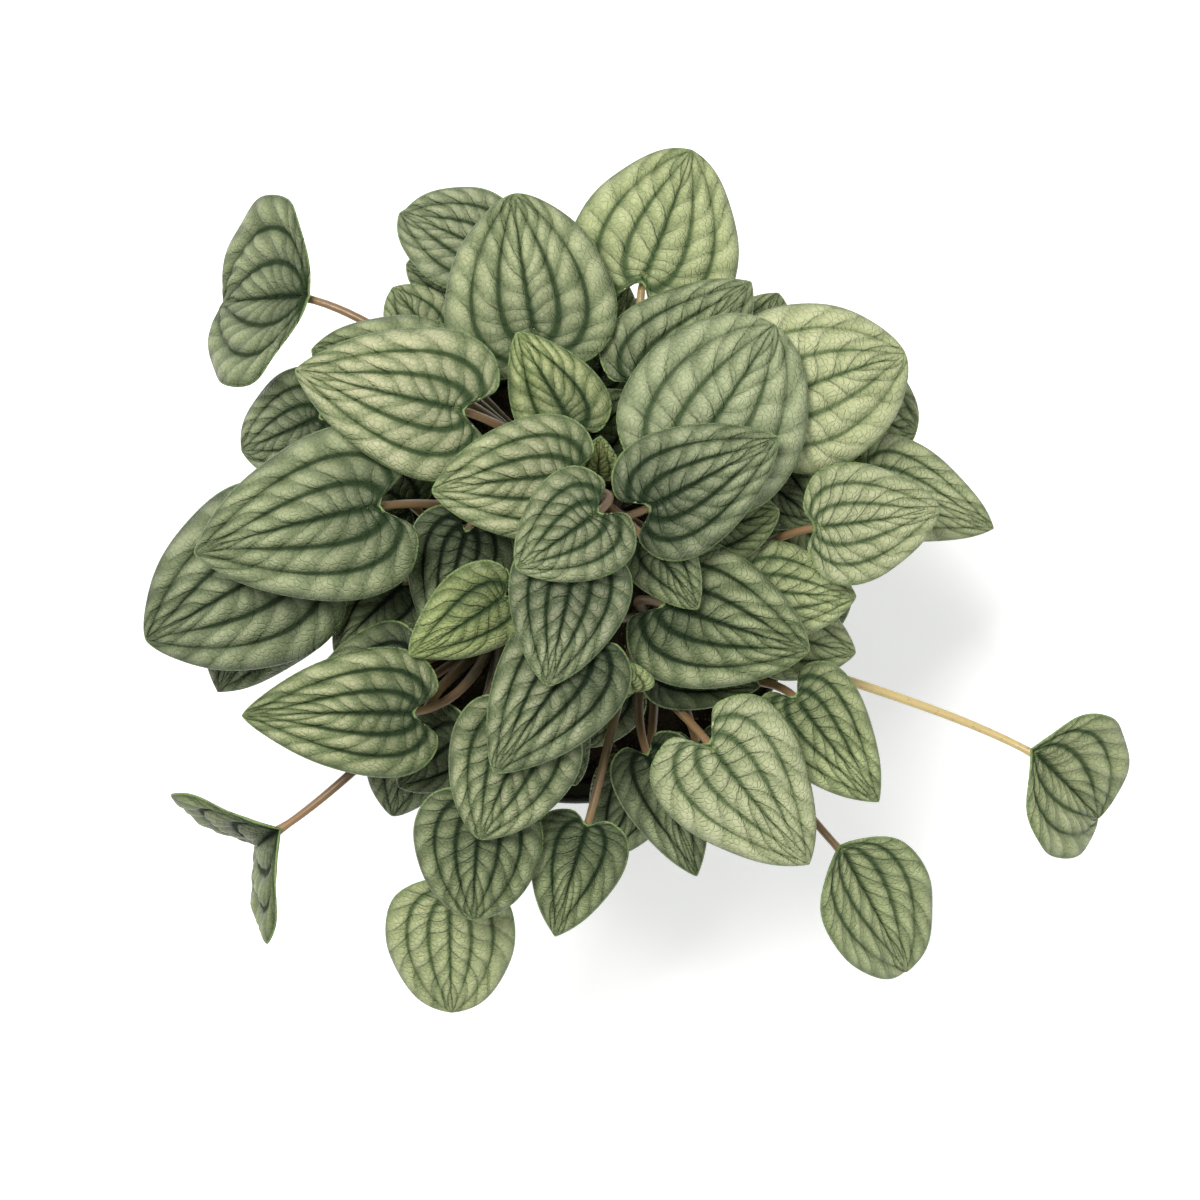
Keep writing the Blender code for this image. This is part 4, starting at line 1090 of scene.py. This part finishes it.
def pot_shell(plastic):
    """The pot: a profile turned round Z, with rolled rim edges and drain holes cut through the floor."""
    low = POT_HEIGHT - RIM_HEIGHT
    at_rim = POT_BASE_RADIUS + POT_SLOPE * low
    lip = POT_TOP_RADIUS + RIM_PROUD
    inner, inside = POT_BASE_RADIUS - POT_WALL, lip - POT_WALL
    profile = np.array([
        (HEART, POT_FLOOR), (inner - FLOOR_BEVEL, POT_FLOOR), (inner, POT_FLOOR + CORNER),
        (at_rim - POT_WALL, low), (inside - FILLET, low + POT_WALL), (inside, low + POT_WALL + CORNER),
        (inside, POT_HEIGHT - EDGE), (inside + EDGE, POT_HEIGHT), (lip - EDGE, POT_HEIGHT),
        (lip, POT_HEIGHT - EDGE), (lip, low + EDGE), (lip - EDGE, low), (at_rim + FILLET, low),
        (at_rim - UNDERCUT[0], low - UNDERCUT[1]),
        *((POT_BASE_RADIUS + POT_SLOPE * z, z) for z in WALL_RINGS),
        (POT_BASE_RADIUS - FILLET, FOOT_ROUND[1]), (POT_BASE_RADIUS - FOOT_ROUND[0], 0.0), (HEART, 0.0)])
    rings = circle(profile[:, :1], POT_SIDES, profile[:, 1:])
    faces = grid_faces(len(profile), POT_SIDES, wrap=True)[:, ::-1]
    piece = put_mesh("pot_shell", rings.reshape(-1, 3), faces)
    merge_close(piece, POT_MERGE)
    for i in range(DRAIN_COUNT):
        angle = 2 * math.pi * (i + 0.5) / DRAIN_COUNT
        x, y = DRAIN_CIRCLE * math.cos(angle), DRAIN_CIRCLE * math.sin(angle)
        place = (x * MM, y * MM, POT_FLOOR / 2 * MM)
        bpy.ops.mesh.primitive_cylinder_add(
            vertices=DRILL_SIDES, radius=DRAIN_RADIUS * MM, depth=3 * POT_FLOOR * MM, location=place)
        drill = bpy.context.active_object
        cut = piece.modifiers.new("drain", "BOOLEAN")
        cut.operation = "DIFFERENCE"
        cut.object = drill
        bpy.context.view_layer.objects.active = piece
        bpy.ops.object.modifier_apply(modifier=cut.name)
        bpy.data.objects.remove(drill)
    piece.data.set_sharp_from_angle(angle=math.radians(SHARP_FROM))
    piece.data.materials.clear()
    piece.data.materials.append(plastic)
    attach(piece, BODY)
    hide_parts("pot")


def soil_height(x, y):
    """Height of the soil: a low dome, clods and grains.

    The dome falls with the square of the radius. The clods are sines along x and along y, each bent by
    a sine of the other, and the grains are the product of two slanting sines.
    """
    radius = np.hypot(x, y)
    dome = SOIL_TOP + SOIL_CROWN * (1 - (radius / POT_TOP_RADIUS) ** 2)
    clods = 0.0
    for (size, pace, bend, bend_pace), (u, v) in zip(CLODS, ((x, y), (y, x))):
        clods = clods + size * np.sin(pace * u + bend * np.sin(bend_pace * v))
    grains = GRAIN_RISE
    for by_x, by_y in GRAIN_PACES:
        grains = grains * np.sin(by_x * x + by_y * y)
    return dome - SOIL_SUNK + clods + grains


def soil_bed(soil_shade):
    """Soil surface down to the pot's wall, and several hundred loose crumbs lying on it."""
    at_top, at_foot = (POT_BASE_RADIUS + POT_SLOPE * z - POT_WALL - CLEAR for z in SOIL_LEVELS)
    top = circle(np.linspace(SOIL_HEART, at_top, SOIL_RINGS)[:, None], SOIL_SIDES, 0.0)
    top[..., 2] = soil_height(top[..., 0], top[..., 1])
    below = circle(np.array([[at_foot], [SOIL_HEART]]), SOIL_SIDES, POT_FLOOR + CLEAR)
    rings = np.concatenate([top, below])
    quads = grid_faces(len(rings), SOIL_SIDES, wrap=True)[:, ::-1]
    bed = put_mesh("soil_bed", rings.reshape(-1, 3), quads)
    merge_close(bed, SOIL_MERGE)
    bed.data.materials.append(soil_shade)
    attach(bed, BODY)
    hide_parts("soil")
    count = CRUMB_COUNT
    spot_turn = rng.uniform(0, 2 * math.pi, count)
    spot_radius = (at_top - CRUMB_MARGIN) * np.sqrt(rng.uniform(0, 1, count))
    x, y = spot_radius * np.cos(spot_turn), spot_radius * np.sin(spot_turn)
    corners = np.array([(1, 0, 0), (-1, 0, 0), (0, 1, 0), (0, -1, 0), (0, 0, 1), (0, 0, -1)], dtype=float)
    faces = np.array([(0, 2, 4), (2, 1, 4), (1, 3, 4), (3, 0, 4), (2, 0, 5), (1, 2, 5), (3, 1, 5), (0, 3, 5)])
    sizes = rng.uniform(*CRUMB_SIZES, (count, 1, 1)) * rng.uniform(*CRUMB_SHAPES, (count, 1, 3))
    jitter = 1 + rng.uniform(-CRUMB_JITTER, CRUMB_JITTER, (count, 6, 3))
    spin = rng.uniform(0, 2 * math.pi, count)
    shape = corners * sizes * jitter
    cos, sin = np.cos(spin)[:, None], np.sin(spin)[:, None]
    turned_x = shape[..., 0] * cos - shape[..., 1] * sin
    turned_y = shape[..., 0] * sin + shape[..., 1] * cos
    place = np.stack([x, y, soil_height(x, y) + CRUMB_LIFT], axis=1)[:, None]
    crumbs = np.stack([turned_x, turned_y, shape[..., 2]], axis=-1) + place
    all_faces = faces[None] + len(corners) * np.arange(count)[:, None, None]
    loose = put_mesh("soil_crumbs", crumbs.reshape(-1, 3), all_faces.reshape(-1, 3))
    loose.data.materials.append(soil_shade)
    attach(loose, BODY)


def studio():
    """White floor with a faint glow, soft light from all round, a key at the upper left, and the camera."""
    corners = np.array([(-1, -1, 0), (1, -1, 0), (1, 1, 0), (-1, 1, 0)]) * FLOOR_REACH
    floor = put_mesh("floor", corners, np.array([(0, 1, 2, 3)]))
    glow = {"Emission_Color": (1, 1, 1, 1), "Emission_Strength": FLOOR_GLOW}
    floor.data.materials.append(Shade("floor_white").close(FLOOR_WHITE, 0.9, **glow))
    world = bpy.data.worlds.new("studio")
    bpy.context.scene.world = world
    world.use_nodes = True
    sky = world.node_tree.nodes["Background"]
    sky.inputs["Color"].default_value = (*WORLD_WHITE, 1.0)
    sky.inputs["Strength"].default_value = WORLD_LIGHT
    for name, place, size, power, color in LAMPS:
        lamp = bpy.data.lights.new(name, "AREA")
        lamp.size = size
        lamp.energy = power
        lamp.color = color
        stand = bpy.data.objects.new(name, lamp)
        stand.location = place
        stand.rotation_euler = (Vector(LAMP_AIM) - Vector(place)).to_track_quat("-Z", "Y").to_euler()
        bpy.context.scene.collection.objects.link(stand)
    lens = bpy.data.cameras.new("camera")
    lens.angle = math.radians(CAMERA_ANGLE)
    camera = bpy.data.objects.new("camera", lens)
    camera.location = CAMERA_PLACE
    bpy.context.scene.collection.objects.link(camera)
    bpy.context.scene.camera = camera
    bpy.context.scene.view_settings.view_transform = "Standard"


lifts = settle(LEAVES)
routes = grow_stalks(lifts)
blade_shades = (leaf_top(), leaf_under())
for leaf in LEAVES + undergrowth(lifts, routes):
    leaf_blade(leaf, lifts[leaf.name], blade_shades)
skin = stalk_skin()
for crown_name in CROWNS:
    grow_crown(crown_name, routes, lifts, skin)
spike(spike_skin())
pot_shell(pot_plastic())
soil_bed(peat())
studio()
